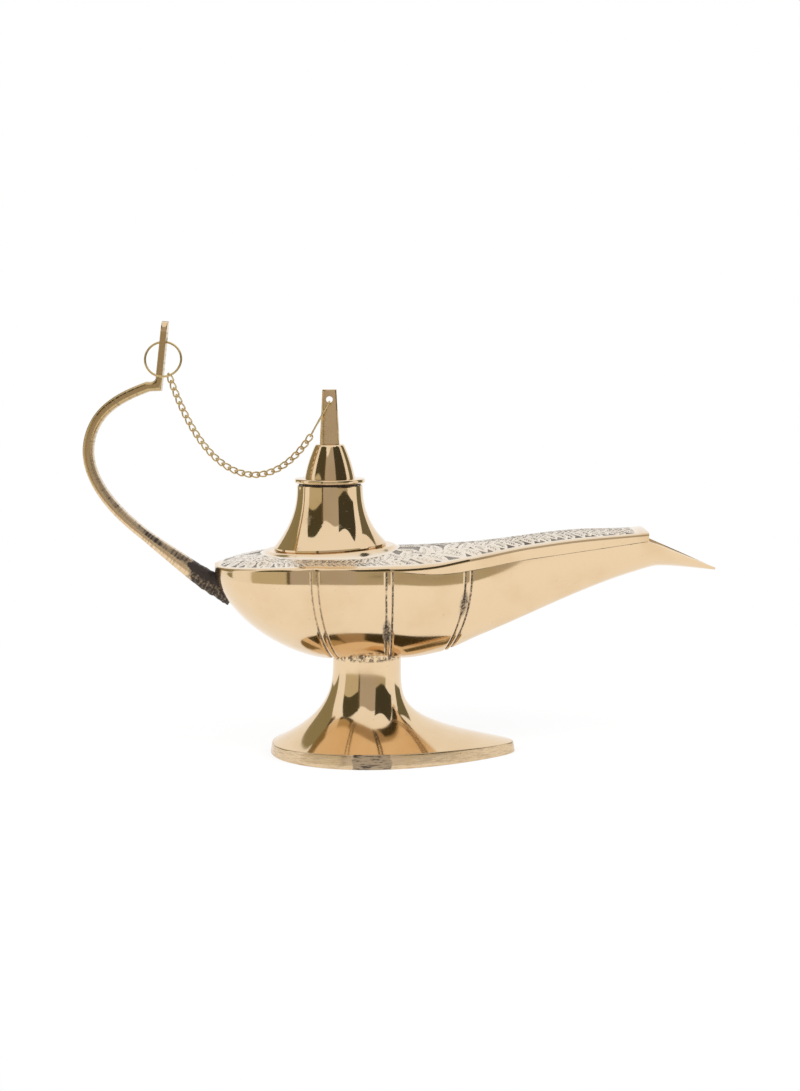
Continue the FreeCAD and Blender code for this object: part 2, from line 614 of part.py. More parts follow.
def make_handle(bowl_solid):
    """The strap and its finial in one casting, fitted to the back of the bowl."""
    line = Part.BSplineCurve()
    line.interpolate(HANDLE_PATH)
    outer, inner = [], []
    for at in spread(line.FirstParameter, line.LastParameter, HANDLE_SECTION_COUNT):
        way = line.tangent(at)[0]
        side = Vector(-way.z, 0, way.x)
        taper = max(0.0, 1 - line.length(line.FirstParameter, at) / HANDLE_ROOT_LENGTH)
        half = (HANDLE_THICKNESS + (HANDLE_ROOT_THICKNESS - HANDLE_THICKNESS) * taper) / 2
        outer.append(line.value(at) - side * half)
        inner.append(line.value(at) + side * half)
    strap_edges = [
        curve(outer), segment(outer[-1], inner[-1]), curve(inner[::-1]), segment(inner[0], outer[0]),
    ]
    strap = Part.Face(Part.Wire(strap_edges)).extrude(Vector(0, HANDLE_WIDTH, 0))
    strap.translate(Vector(0, -HANDLE_WIDTH / 2, 0))
    strap = strap.makeFillet(HANDLE_EDGE_FILLET, [
        edge for edge in strap.Edges if edge.Length > HANDLE_WIDTH * 2
    ])

    sides = [
        Vector(FINIAL_FOOT_X - FINIAL_FOOT_THICKNESS / 2, 0, FINIAL_FOOT_HEIGHT),
        Vector(FINIAL_FOOT_X + FINIAL_FOOT_THICKNESS / 2, 0, FINIAL_FOOT_HEIGHT),
        Vector(FINIAL_TOP_X + FINIAL_TOP_THICKNESS / 2, 0, FINIAL_TOP_HEIGHT),
        Vector(FINIAL_TOP_X - FINIAL_TOP_THICKNESS / 2, 0, FINIAL_TOP_HEIGHT),
    ]
    blade = Part.Face(Part.makePolygon(sides + sides[:1])).extrude(Vector(0, FINIAL_WIDTH, 0))
    blade.translate(Vector(0, -FINIAL_WIDTH / 2, 0))
    half = FINIAL_WIDTH / 2
    back = FINIAL_FOOT_X - FINIAL_FOOT_THICKNESS
    depth = FINIAL_LEAN + 2 * FINIAL_FOOT_THICKNESS
    shoulder = FINIAL_TOP_HEIGHT - half
    front_view = Part.Wire([
        segment(Vector(back, -half, FINIAL_FOOT_HEIGHT), Vector(back, -half, shoulder)),
        arc(Vector(back, -half, shoulder), Vector(back, 0, FINIAL_TOP_HEIGHT), Vector(back, half, shoulder)),
        segment(Vector(back, half, shoulder), Vector(back, half, FINIAL_FOOT_HEIGHT)),
        segment(Vector(back, half, FINIAL_FOOT_HEIGHT), Vector(back, -half, FINIAL_FOOT_HEIGHT)),
    ])
    blade = blade.common(Part.Face(front_view).extrude(Vector(depth, 0, 0)))
    hole = Part.makeCylinder(
        FINIAL_HOLE_DIAMETER / 2, depth, Vector(back, 0, FINIAL_HOLE_HEIGHT), Vector(1, 0, 0)
    )
    return strap.fuse(blade).cut(hole).cut(bowl_solid)


def ring_centre():
    """The ring hangs by its top wire in the finial's hole, leaning out in front of the strap."""
    rest = (FINIAL_HOLE_DIAMETER - RING_WIRE_DIAMETER) / 2 - RING_CLEARANCE
    radius = RING_DIAMETER / 2
    top = Vector(FINIAL_HOLE_X, 0, FINIAL_HOLE_HEIGHT - rest)
    return top + Vector(0, -radius * math.sin(RING_TILT), -radius * math.cos(RING_TILT))


def ring_axis():
    return Vector(0, math.cos(RING_TILT), -math.sin(RING_TILT))


def make_ring():
    return Part.makeTorus(RING_DIAMETER / 2, RING_WIRE_DIAMETER / 2, ring_centre(), ring_axis())


def chain_start():
    """The middle of the ring's wire where the first link hangs, a little to the front of its lowest point."""
    radius = RING_DIAMETER / 2
    drop = radius * math.cos(RING_CHAIN_ANGLE)
    return ring_centre() + Vector(
        radius * math.sin(RING_CHAIN_ANGLE), -drop * math.sin(RING_TILT), -drop * math.cos(RING_TILT)
    )


def hook_pivot():
    """The middle of the hook's wire where it rests in the tang's hole."""
    rest = (TANG_HOLE_DIAMETER - HOOK_WIRE_DIAMETER) / 2 - HOOK_CLEARANCE
    return Vector(NECK_X, 0, TANG_HOLE_HEIGHT - rest)


def chain_end():
    """The middle of the hook's wire at the lowest point of its eye, where the last link hangs."""
    eye = hook_pivot() + Vector(-HOOK_REACH, 0, -HOOK_DROP)
    eye.y = HOOK_FRONT_Y + HOOK_BEND_RADIUS
    return eye


def make_hook():
    """One bent wire: a tail behind the tang, a leg in front of it and a turned-up eye at the bottom."""
    pivot = hook_pivot()
    down = Vector(-HOOK_REACH, 0, -HOOK_DROP)
    bottom = pivot + down
    way = Vector(down).normalize()
    behind = Vector(0, HOOK_BACK_Y, 0)
    front = Vector(0, HOOK_FRONT_Y, 0)
    tip = Vector(0, HOOK_FRONT_Y + 2 * HOOK_BEND_RADIUS, 0)
    eye_start = bottom + front - way * HOOK_BEND_RADIUS
    eye_end = bottom + tip - way * HOOK_BEND_RADIUS
    edges = bent_path(
        [pivot + behind + way * HOOK_TAIL, pivot + behind, pivot + front, eye_start], HOOK_BEND_RADIUS
    )
    edges += [
        arc(eye_start, chain_end(), eye_end),
        segment(eye_end, eye_end - way * HOOK_TIP),
    ]
    return wire_solid(edges, HOOK_WIRE_DIAMETER)


def end_reach(wire_diameter):
    """Distance from the middle of a link at the chain's end to the middle of the wire that holds it."""
    return LINK_HALF_LENGTH - (LINK_WIRE_DIAMETER + wire_diameter) / 2 - LINK_CLEARANCE


def hanging_curve(span, rise, length):
    """The catenary of a given length between two points: a function from arc length to (along, up)."""
    target = math.sqrt(length * length - rise * rise) / span
    low, high = 0.0, HANG_LIMIT
    for _ in range(HANG_STEP_COUNT):
        middle = (low + high) / 2
        if math.sinh(middle) / middle < target:
            low = middle
        else:
            high = middle
    size = span / (2 * low)
    bottom = span / 2 - size * math.atanh(rise / length)

    def at(run):
        along = bottom + size * math.asinh(run / size - math.sinh(bottom / size))
        up = size * (math.cosh((along - bottom) / size) - math.cosh(bottom / size))
        return along, up

    return at


def link_count(start, end):
    """How many links the chain needs to hang slack from start to end."""
    return math.ceil(CHAIN_SLACK * (end - start).Length / LINK_PITCH)


def link_poses(start, end, count):
    """Middle and slope of each link of a chain of count links that hangs from start to end."""
    first = end_reach(RING_WIRE_DIAMETER)
    last = end_reach(HOOK_WIRE_DIAMETER)
    length = first + LINK_PITCH * (count - 1) + last
    level = Vector(end.x - start.x, end.y - start.y, 0)
    at = hanging_curve(level.Length, end.z - start.z, length)
    ahead = Vector(level).normalize()
    poses = []
    for i in range(count):
        run = first + LINK_PITCH * i
        along, up = at(run)
        back = at(max(run - LINK_PITCH / 2, 0.0))
        fore = at(min(run + LINK_PITCH / 2, length))
        slope = math.atan2(fore[1] - back[1], fore[0] - back[0])
        poses.append((start + ahead * along + Vector(0, 0, up), slope))
    return poses


def make_link():
    """One curb link at the origin, lying along X and flat in the XZ plane, in two swept halves."""
    def place(turn):
        return Vector(
            LINK_HALF_LENGTH * math.cos(turn), LINK_TWIST * math.sin(2 * turn), LINK_HALF_WIDTH * math.sin(turn)
        )

    def heading(turn):
        return Vector(
            -LINK_HALF_LENGTH * math.sin(turn), 2 * LINK_TWIST * math.cos(2 * turn),
            LINK_HALF_WIDTH * math.cos(turn),
        ).normalize()

    halves = []
    for first in (math.pi / 2, 3 * math.pi / 2):
        turns = spread(first, first + math.pi, LINK_BEND_COUNT + 1)
        edges = []
        for a, b in zip(turns, turns[1:]):
            edges += biarc(place(a), heading(a), place(b), heading(b))
        halves.append(wire_solid(edges, LINK_WIRE_DIAMETER))
    return halves[0].fuse(halves[1])


def make_chain():
    """Every link of the chain, set along its hanging curve."""
    start, end = chain_start(), chain_end()
    yaw = math.degrees(math.atan2(end.y - start.y, end.x - start.x))
    pattern = make_link()
    links = []
    for middle, slope in link_poses(start, end, link_count(start, end)):
        link = pattern.copy()
        link.rotate(Vector(0, 0, 0), Vector(1, 0, 0), math.degrees(LINK_ROLL))
        link.rotate(Vector(0, 0, 0), Vector(0, -1, 0), math.degrees(slope))
        link.rotate(Vector(0, 0, 0), Vector(0, 0, 1), yaw)
        link.translate(middle)
        links.append(link)
    return links


OUTER_BOWL = bowl_form(0.0, 0.0)
HANDLE = make_handle(OUTER_BOWL)
MIDDLE_X = (HANDLE.optimalBoundingBox(False).XMin + LIP_TIP_X) / 2


def export(shape, node):
    """Writes one piece, with the origin under the middle of the lamp."""
    shape.translated(Vector(-MIDDLE_X, 0, 0)).exportStep("parts/" + node + ".step")


os.makedirs("parts", exist_ok=True)
export(make_foot(OUTER_BOWL), "foot")
export(OUTER_BOWL.cut(bowl_form(BOWL_WALL, CUT_MARGIN)), "bowl")
export(make_deck(), "deck")
export(make_neck(), "neck")
export(make_lid(), "lid")
export(HANDLE, "handle")
export(make_ring(), "ring")
export(make_hook(), "hook")
for number, link in enumerate(make_chain(), 1):
    export(link, "chain_link_%02d" % number)
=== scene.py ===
import math
import bmesh
import bpy
import numpy as np
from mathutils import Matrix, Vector, noise


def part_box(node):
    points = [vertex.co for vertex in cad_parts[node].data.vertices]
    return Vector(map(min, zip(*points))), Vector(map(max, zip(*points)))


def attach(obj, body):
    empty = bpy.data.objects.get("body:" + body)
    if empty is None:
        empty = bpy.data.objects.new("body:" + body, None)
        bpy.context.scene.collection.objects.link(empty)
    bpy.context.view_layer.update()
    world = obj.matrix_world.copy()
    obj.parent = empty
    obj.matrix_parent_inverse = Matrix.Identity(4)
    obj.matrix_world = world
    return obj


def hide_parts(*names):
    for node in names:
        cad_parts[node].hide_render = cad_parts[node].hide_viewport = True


# Footed brass oil lamp: castings brazed together, a turned neck and lid, and a fine chain.
# The lamp's sizes are in millimetres from the stem's axis and the table, and the studio's in metres.
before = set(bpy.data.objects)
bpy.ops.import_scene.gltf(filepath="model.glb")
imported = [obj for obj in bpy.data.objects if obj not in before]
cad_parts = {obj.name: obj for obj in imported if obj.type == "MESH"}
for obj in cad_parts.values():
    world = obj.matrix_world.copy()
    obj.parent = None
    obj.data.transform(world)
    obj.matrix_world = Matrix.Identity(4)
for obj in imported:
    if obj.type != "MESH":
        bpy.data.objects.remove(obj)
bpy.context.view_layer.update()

# Foot: a hollow trumpet of cast brass on a teardrop rim.
# Its flare is polished bright, and the edge of the rim is left with file strokes.
# The bowl is brazed on top of its stem.
MM = 0.001
FOOT_REAR_REACH = 39.3
FOOT_TIP_REACH = 60.2
FOOT_HALF_WIDTH = 34.5
FOOT_TIP_POINTEDNESS = 0.45
FOOT_RIM_HEIGHT = 4.4
FOOT_RIM_DRAFT = 1.0
FOOT_WALL = 3.0
FOOT_EDGE = 0.45
BAND_SWELL = 1.5
BAND_SHARES = (0.25, 0.5, 0.75)
STEM_RADIUS = 13.8
REAR_FLARE = 2.9
TIP_FLARE = 4.6
BOWL_BASE_HEIGHT = 38.9
FOOT_COLUMNS = 192
FOOT_LEVELS = 64
FLARE_CROWDING = 1.6
EDGE_STEPS = 5
stem_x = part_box("foot")[0].x / MM + FOOT_REAR_REACH


class Field:
    """A shader value that varies over a surface, so that its maths reads as plain sums and products."""

    def __init__(self, tree, socket=None):
        self.tree = tree
        self.socket = socket

    def node(self, kind, settings=(), sockets=(), output=0):
        """Any node: its settings are set first, then the values or links of its sockets."""
        made = self.tree.nodes.new(kind)
        for key, value in dict(settings).items():
            setattr(made, key, value)
        for key, value in dict(sockets).items():
            if isinstance(value, Field):
                self.tree.links.new(value.socket, made.inputs[key])
            else:
                made.inputs[key].default_value = value
        return Field(self.tree, made.outputs[output])

    def math(self, operation, first, second=0.0):
        return self.node("ShaderNodeMath", {"operation": operation}, {0: first, 1: second})

    def __add__(self, other):
        return self.math("ADD", self, other)

    def __sub__(self, other):
        return self.math("SUBTRACT", self, other)

    def __rsub__(self, other):
        return self.math("SUBTRACT", other, self)

    def __mul__(self, other):
        return self.math("MULTIPLY", self, other)

    def __truediv__(self, other):
        return self.math("DIVIDE", self, other)

    def __abs__(self):
        return self.math("ABSOLUTE", self)

    __radd__ = __add__
    __rmul__ = __mul__

    def clamp(self):
        return self.node("ShaderNodeClamp", {}, {"Value": self})

    def step(self, low, high):
        """Zero below low and one above high, smooth between."""
        settings = {"interpolation_type": "SMOOTHSTEP"}
        return self.node("ShaderNodeMapRange", settings, {"Value": self, "From Min": low, "From Max": high})

    def between(self, low, high, edge):
        """One from low to high, fading over an edge on either side of each."""
        return self.step(low - edge, low + edge) * (1.0 - self.step(high - edge, high + edge))

    def blend(self, first, second):
        """First colour where this is zero, second where it is one."""
        sockets = {0: self, 6: first, 7: second}
        return self.node("ShaderNodeMix", {"data_type": "RGBA"}, sockets, 2)

    def mark(self, name):
        """The value that each point of the mesh holds under a name."""
        return self.node("ShaderNodeAttribute", {"attribute_name": name}, {}, 2)

    def coordinate(self, axis):
        """A place's own X, Y or Z in millimetres."""
        return self.node("ShaderNodeSeparateXYZ", {}, {0: self}, axis) / MM


def surface(name):
    """A new material: the material, its shader, its empty field and the place on the lamp in metres."""
    material = bpy.data.materials.new(name)
    material.use_nodes = True
    shader = material.node_tree.nodes["Principled BSDF"]
    blank = Field(material.node_tree)
    place = blank.node("ShaderNodeTexCoord", {}, {}, 3)
    return material, shader, blank, place


def stretched(place, scale):
    """The place scaled by its own factor along X, Y and Z."""
    return place.node("ShaderNodeVectorMath", {"operation": "MULTIPLY"}, {0: place, 1: scale})


def cloud(place, scale, detail=3.0, roughness=0.55):
    """Soft noise about a half, finer where the scale is larger."""
    sockets = {"Vector": place, "Scale": scale, "Detail": detail, "Roughness": roughness}
    return place.node("ShaderNodeTexNoise", {}, sockets)


def brushed(place, scale):
    """Fine strokes, long where the scale is small and close together where it is large."""
    return cloud(stretched(place, scale), 1.0, 4.0, 0.65)


BRASS = (0.80, 0.605, 0.385, 1.0)
DEEP_BRASS = (0.68, 0.46, 0.23, 1.0)
PATINA = (0.040, 0.029, 0.024, 1.0)
TARNISH_SCALE = 55.0
TARNISH_EDGES = (0.42, 0.75)
TARNISH_TINT = 0.30
GRAIN_EDGES = (0.35, 0.65)
PIT_SCALE = 900.0
PIT_EDGES = (0.71, 0.77)
PIT_TINT = 0.30
CRUST_SCALE = 650.0
BUMP_STRENGTH = 0.3
BUMP_METRES = 0.00004


def polish(made, stain, strokes, stroke_depth, smoothness, bright=BRASS, crust=0.0, grain=0.0):
    """Hand-polished brass: faint clouds of tarnish, fine strokes, and a stain where it isn't rubbed, which on
    the lid's seat and the handle's flanks also carries painted shade and a painted reflection.
    """
    material, shader, blank, place = made
    cloudy = cloud(place, TARNISH_SCALE).step(*TARNISH_EDGES)
    pits = cloud(place, PIT_SCALE, 2.0).step(*PIT_EDGES)
    tint = TARNISH_TINT * cloudy + grain * strokes.step(*GRAIN_EDGES)
    dark = (stain + PIT_TINT * pits).clamp()
    lumps = crust * cloud(place, CRUST_SCALE, 3.0) if crust else 0.0
    relief = stroke_depth * strokes - 0.5 * pits + stain * lumps
    bump = {"Strength": BUMP_STRENGTH, "Distance": BUMP_METRES, "Height": relief}
    feeds = {
        "Base Color": dark.blend(tint.clamp().blend(bright, DEEP_BRASS), PATINA),
        "Roughness": (smoothness + 0.04 * cloudy + 0.10 * (strokes - 0.5) + 0.42 * dark).clamp(),
        "Metallic": 1.0 - 0.55 * dark,
        "Normal": blank.node("ShaderNodeBump", {}, bump),
    }
    for socket, feed in feeds.items():
        material.node_tree.links.new(feed.socket, shader.inputs[socket])
    return material


WELD_METRES = 2e-7
SLIVER_METRES = 1e-8


def piece(name, rows, material, sharp=35.0, **marks):
    """A closed mesh from rows of points in millimetres, each row a closed loop.

    Each of the marks holds one value for each point, which the material reads by its name.
    """
    rows = np.asarray(rows, float)
    count, columns = rows.shape[:2]
    points = rows.reshape(-1, 3) * MM + np.array([stem_x * MM, 0.0, 0.0])
    corner = np.arange((count - 1) * columns).reshape(count - 1, columns)
    after = np.roll(corner, -1, axis=1)
    faces = np.stack([corner, after, after + columns, corner + columns], axis=-1).reshape(-1, 4)
    mesh = bpy.data.meshes.new(name)
    mesh.from_pydata(points.tolist(), [], faces.tolist())
    for key, values in marks.items():
        mesh.attributes.new(key, "FLOAT", "POINT").data.foreach_set("value", np.ravel(values))
    shape = bmesh.new()
    shape.from_mesh(mesh)
    bmesh.ops.remove_doubles(shape, verts=shape.verts, dist=WELD_METRES)
    bmesh.ops.dissolve_degenerate(shape, edges=shape.edges, dist=SLIVER_METRES)
    bmesh.ops.holes_fill(shape, edges=[edge for edge in shape.edges if edge.is_boundary], sides=0)
    bmesh.ops.recalc_face_normals(shape, faces=shape.faces)
    shape.to_mesh(mesh)
    shape.free()
    mesh.shade_smooth()
    mesh.set_sharp_from_angle(angle=math.radians(sharp))
    mesh.materials.append(material)
    made = bpy.data.objects.new(name, mesh)
    bpy.context.scene.collection.objects.link(made)
    return made


def round_turns(count):
    """Even turns once round, in radians."""
    return np.linspace(0, 2 * math.pi, count, endpoint=False)


def mix(first, second, share):
    """First where the share is nothing, second where it is one, and in proportion between."""
    return first + (second - first) * share


def teardrop(rear, tip, half_width, pointedness, height, swell):
    """A level outline, round at the back and drawn out to a tip in front; swell lifts its two sides."""
    loop = []
    for turn in round_turns(FOOT_COLUMNS):
        ahead, aside = math.cos(turn), math.sin(turn)
        reach = tip if ahead > 0 else rear
        narrowing = 1 - pointedness * max(ahead, 0) ** 2
        loop.append((reach * ahead, half_width * aside * narrowing, height + swell * aside ** 2))
    return loop


def foot_band(inset, height):
    """A loop of the rim's filed edge, which is a little taller at its sides than at its ends."""
    return teardrop(
        FOOT_REAR_REACH - inset, FOOT_TIP_REACH - inset, FOOT_HALF_WIDTH - inset, FOOT_TIP_POINTEDNESS,
        height, BAND_SWELL * height / FOOT_RIM_HEIGHT,
    )


def foot_flare(skin, share, bottom, top):
    """The loop of the trumpet at a share of its height, drawn in by skin."""
    core = STEM_RADIUS - skin
    inset = FOOT_RIM_DRAFT + skin

    def reach(edge, power):
        return mix(core, edge - inset, (1 - share) ** power)

    return teardrop(
        reach(FOOT_REAR_REACH, REAR_FLARE), reach(FOOT_TIP_REACH, TIP_FLARE),
        reach(FOOT_HALF_WIDTH, REAR_FLARE), FOOT_TIP_POINTEDNESS * (1 - share) ** TIP_FLARE,
        mix(bottom, top, share), 0.0 if skin else BAND_SWELL * (1 - share) ** 2,
    )


def level_point(height):
    """A loop drawn together into one point on the stem's axis, which closes the foot's mesh."""
    return [(0.0, 0.0, height)] * FOOT_COLUMNS


hollow_top = BOWL_BASE_HEIGHT - FOOT_WALL
hollow_bottom = FOOT_RIM_HEIGHT - FOOT_WALL
band_top = FOOT_RIM_HEIGHT - FOOT_EDGE
band_draft = FOOT_RIM_DRAFT - FOOT_EDGE
flare_shares = [share ** FLARE_CROWDING for share in np.linspace(0, 1, FOOT_LEVELS)]
quarter_turns = np.linspace(0, math.pi / 2, EDGE_STEPS)
foot_rows = [level_point(hollow_top)]
foot_rows += [foot_flare(FOOT_WALL, share, hollow_bottom, hollow_top) for share in flare_shares[::-1]]
foot_marks = [0.0] * len(foot_rows)
foot_rows += [foot_band(FOOT_WALL, 0.0), foot_band(FOOT_EDGE, 0.0)]
for turn in quarter_turns[1:]:
    foot_rows.append(foot_band(FOOT_EDGE * (1 - math.sin(turn)), FOOT_EDGE * (1 - math.cos(turn))))
for share in BAND_SHARES:
    foot_rows.append(foot_band(band_draft * share, mix(FOOT_EDGE, band_top, share)))
for turn in quarter_turns:
    inset = band_draft + FOOT_EDGE * (1 - math.cos(turn))
    foot_rows.append(foot_band(inset, band_top + FOOT_EDGE * math.sin(turn)))
foot_marks += [1.0] * (len(foot_rows) - len(foot_marks))
foot_rows += [foot_flare(0.0, share, FOOT_RIM_HEIGHT, BOWL_BASE_HEIGHT) for share in flare_shares[1:]]

RESIDUE_BELOW = 0.3
RESIDUE_ABOVE = 0.7
# A darker wavy patch on the near side of the band's edge, around the front of the stem.
DARK_PATCH = (-5.0, 10.0)
DARK_PATCH_EDGE = 0.5
DARK_PATCH_RAGGED = 4.0
DARK_PATCH_NEAR = (-20.0, -10.0)


def foot_brass():
    """Polished flare, file strokes round the rim's edge, and braze residue where the stem meets the bowl."""
    made = surface("foot_brass")
    blank, place = made[2:]
    ahead, aside, height = place.coordinate(0) - stem_x, place.coordinate(1), place.coordinate(2)
    joint = height.step(BOWL_BASE_HEIGHT - RESIDUE_BELOW, BOWL_BASE_HEIGHT + RESIDUE_ABOVE)
    residue = joint * cloud(place, 420.0, 3.0, 0.7).step(0.42, 0.58)
    strokes = cloud(stretched(place, (220.0, 220.0, 1700.0)), 1.0, 4.0, 0.7).step(0.42, 0.72)
    ragged = ahead + DARK_PATCH_RAGGED * (cloud(place, 420.0) - 0.5)
    # The darker wavy patch, on the near side only.
    patch = (1.0 - aside.step(*DARK_PATCH_NEAR)) * ragged.between(*DARK_PATCH, DARK_PATCH_EDGE)
    band_darkening = 0.12 + 0.30 * strokes + patch * (0.42 + 0.40 * strokes)
    stain = 0.80 * residue + blank.mark("band") * band_darkening
    return polish(made, stain, brushed(place, (90.0, 90.0, 900.0)), 0.25, 0.085)


# Bowl and spout: one fluted shell of cast brass, drawn out into a spout with an open pointed lip.
# The flutes are pressed V grooves that keep dark polish residue. Its rim carries the deck.
BOWL_DEPTH = 39.6
BOWL_REAR_REACH = 61.3
BOWL_REAR_DROP = 2.6
BOWL_REAR_FULLNESS = 1.65
BOWL_HALF_WIDTH = 40.9
BOWL_WIDEST_X = -20.0
BOWL_WALL = 2.2
SPOUT_ROOT_X = 66.0
SPOUT_HALF_WIDTH = 14.0
SPOUT_END_X = 112.0
SPOUT_RISE = 9.1
SPOUT_DRAFT = 0.12
LIP_TIP_X = 140.8
LIP_TIP_DROP = 12.1
LIP_TIP_THICKNESS = 0.8
LIP_FULLNESS = 1.5
RIM_DIP_X = 30.6
RIM_TUCK = 0.6
TUCK_FROM = 0.86
# Each flute's place on the rim and on the keel.
FLUTES = [(-19.4, -11.8), (9.4, 8.6), (40.6, 32.2)]
FLUTE_DEPTH = 1.6
FLUTE_SPREAD = 6.0
FLUTE_BOW = 2.2
FLUTE_GROOVE = 0.50
FLUTE_GROOVE_REACH = 1.25
FLUTE_GROOVE_WIDTH = 0.55
FLUTE_BEAD = 0.22
FLUTE_BEAD_WIDTH = 0.70
# How dark each flute's lines and its patch are, and the patch's middle and spread from rim to keel.
FLUTE_GRIME = [(0.75, 0.25, 0.80, 0.20), (1.0, 1.0, 0.64, 0.17), (1.0, 0.9, 0.38, 0.18)]
GRIME_LINE = 0.85
GRIME_PATCH_X = -0.9
GRIME_PATCH_WIDTH = 2.2
BOWL_STEPS = 72
BOWL_TURNS = np.linspace(-math.pi / 2, math.pi / 2, BOWL_STEPS + 1)
bowl_rim_height = BOWL_BASE_HEIGHT + BOWL_DEPTH
bowl_rear_height = bowl_rim_height - BOWL_REAR_DROP
spout_rim_height = bowl_rim_height + SPOUT_RISE
lip_tip_height = spout_rim_height - LIP_TIP_DROP
lip_keel = lip_tip_height - LIP_TIP_THICKNESS
RIM_LINE = [
    (-BOWL_REAR_REACH, bowl_rear_height), (BOWL_WIDEST_X, bowl_rim_height),
    (FLUTES[1][0], bowl_rim_height - 0.9), (RIM_DIP_X, bowl_rim_height - 2.8),
    (SPOUT_ROOT_X, bowl_rim_height + 2.2), (SPOUT_END_X, spout_rim_height),
]
KEEL_LINE = [
    (-STEM_RADIUS, BOWL_BASE_HEIGHT), (STEM_RADIUS, BOWL_BASE_HEIGHT),
    (STEM_RADIUS + 15.0, BOWL_BASE_HEIGHT + 2.2), (STEM_RADIUS + 32.0, BOWL_BASE_HEIGHT + 9.2),
    (SPOUT_END_X - 4.0, lip_keel - 0.6), (SPOUT_END_X + 6.0, lip_keel + 1.8), (LIP_TIP_X, lip_keel),
]
fan_rims, fan_keels = zip((-BOWL_REAR_REACH, -BOWL_REAR_REACH), *FLUTES, (LIP_TIP_X, LIP_TIP_X))


def smooth_line(points, x):
    """Height of the smooth line through (x, height) points that rises and falls only where they do."""
    slopes = [(b[1] - a[1]) / (b[0] - a[0]) for a, b in zip(points, points[1:])]
    tangents = [slopes[0]]
    for before, after in zip(slopes, slopes[1:]):
        tangents.append(2 * before * after / (before + after) if before * after > 0 else 0.0)
    tangents.append(slopes[-1])
    i = 0
    while i < len(points) - 2 and x > points[i + 1][0]:
        i += 1
    run = points[i + 1][0] - points[i][0]
    t = (x - points[i][0]) / run
    rise = points[i][1] * (1 + 2 * t) * (1 - t) ** 2 + points[i + 1][1] * t * t * (3 - 2 * t)
    return rise + run * (tangents[i] * t * (1 - t) ** 2 - tangents[i + 1] * t * t * (1 - t))


def smooth_share(values, low, high):
    """Zero below low and one above high, smooth between."""
    share = np.clip((values - low) / (high - low), 0.0, 1.0)
    return share * share * (3 - 2 * share)


def bell(away, width):
    """One at no distance, dying out smoothly over a width."""
    return math.exp(-((away / width) ** 2))


def rim_height(x):
    """Height of the bowl's rim, which falls straight along the open lip."""
    if x > SPOUT_END_X:
        return spout_rim_height - LIP_TIP_DROP * (x - SPOUT_END_X) / (LIP_TIP_X - SPOUT_END_X)
    return smooth_line(RIM_LINE, x)


def crease(x):
    """How far the flutes draw the rim in at x."""
    return sum(FLUTE_DEPTH * math.exp(-abs(x - rim) / FLUTE_SPREAD) for rim, keel in FLUTES)


def beading(x):
    """Depth of the fine moulding in a flute: a slim bead between two grooves."""
    depth = 0.0
    for rim, keel in FLUTES:
        away = abs(x - rim)
        depth += FLUTE_GROOVE * bell(away - FLUTE_GROOVE_REACH, FLUTE_GROOVE_WIDTH)
        depth -= FLUTE_BEAD * bell(away, FLUTE_BEAD_WIDTH)
    return depth


def grime(x, sunk):
    """How much dark residue the flutes keep at x, sunk from nothing at the rim to one at the keel."""
    most = 0.0
    for (rim, keel), (line_level, patch_level, middle, spread) in zip(FLUTES, FLUTE_GRIME):
        thick = bell(sunk - middle, spread)
        line = bell(abs(x - rim) - FLUTE_GROOVE_REACH, FLUTE_GROOVE_WIDTH)
        line *= mix(GRIME_LINE, 1, thick)
        patch = thick * bell(x - rim - GRIME_PATCH_X, GRIME_PATCH_WIDTH)
        most = max(most, line_level * line, patch_level * patch)
    return most


def rim_half_width(x, skin):
    """Half the rim's width, drawn in by skin: an ellipse astern, a taper to the spout and a pointed lip."""
    if x < BOWL_WIDEST_X:
        share = (BOWL_WIDEST_X - x) / (BOWL_REAR_REACH + BOWL_WIDEST_X - skin)
        half = (BOWL_HALF_WIDTH - skin) * math.sqrt(max(0.0, 1 - share * share))
    elif x < SPOUT_ROOT_X:
        share = (x - BOWL_WIDEST_X) / (SPOUT_ROOT_X - BOWL_WIDEST_X)
        swell = 0.5 + 0.5 * math.cos(math.pi * share)
        half = mix(SPOUT_HALF_WIDTH, BOWL_HALF_WIDTH, swell) - skin
    else:
        share = max(0.0, (x - SPOUT_END_X) / (LIP_TIP_X - SPOUT_END_X))
        half = SPOUT_HALF_WIDTH * (1 - min(1.0, share) ** LIP_FULLNESS) - skin
    return max(0.0, half) * (1 - crease(x) / BOWL_HALF_WIDTH)


def keel_height(x, skin):
    """Height of the bowl's lowest line, raised by skin: a round stern, and a long sweep up to the lip."""
    if x < -STEM_RADIUS:
        base = BOWL_BASE_HEIGHT + skin
        share = min(1.0, (-x - STEM_RADIUS) / (BOWL_REAR_REACH - skin - STEM_RADIUS))
        rise = 1 - (1 - share ** BOWL_REAR_FULLNESS) ** (1 / BOWL_REAR_FULLNESS)
        return mix(base, bowl_rear_height, rise)
    return smooth_line(KEEL_LINE, x) + skin


def keel_x(x):
    """Where the section that meets the rim at x meets the keel: the sections fan out from the stem."""
    return float(np.interp(x, fan_rims, fan_keels))


def spout_share(x):
    """Nothing on the lobes and one on the spout."""
    return float(smooth_share(x, FLUTES[-1][0], SPOUT_ROOT_X))


def rim_tuck(x):
    """How far the top of the wall leans in under the deck: on the lobes, but not on the spout."""
    return RIM_TUCK * (1 - spout_share(x)) * min(1.0, rim_half_width(x, 0.0) / BOWL_HALF_WIDTH)


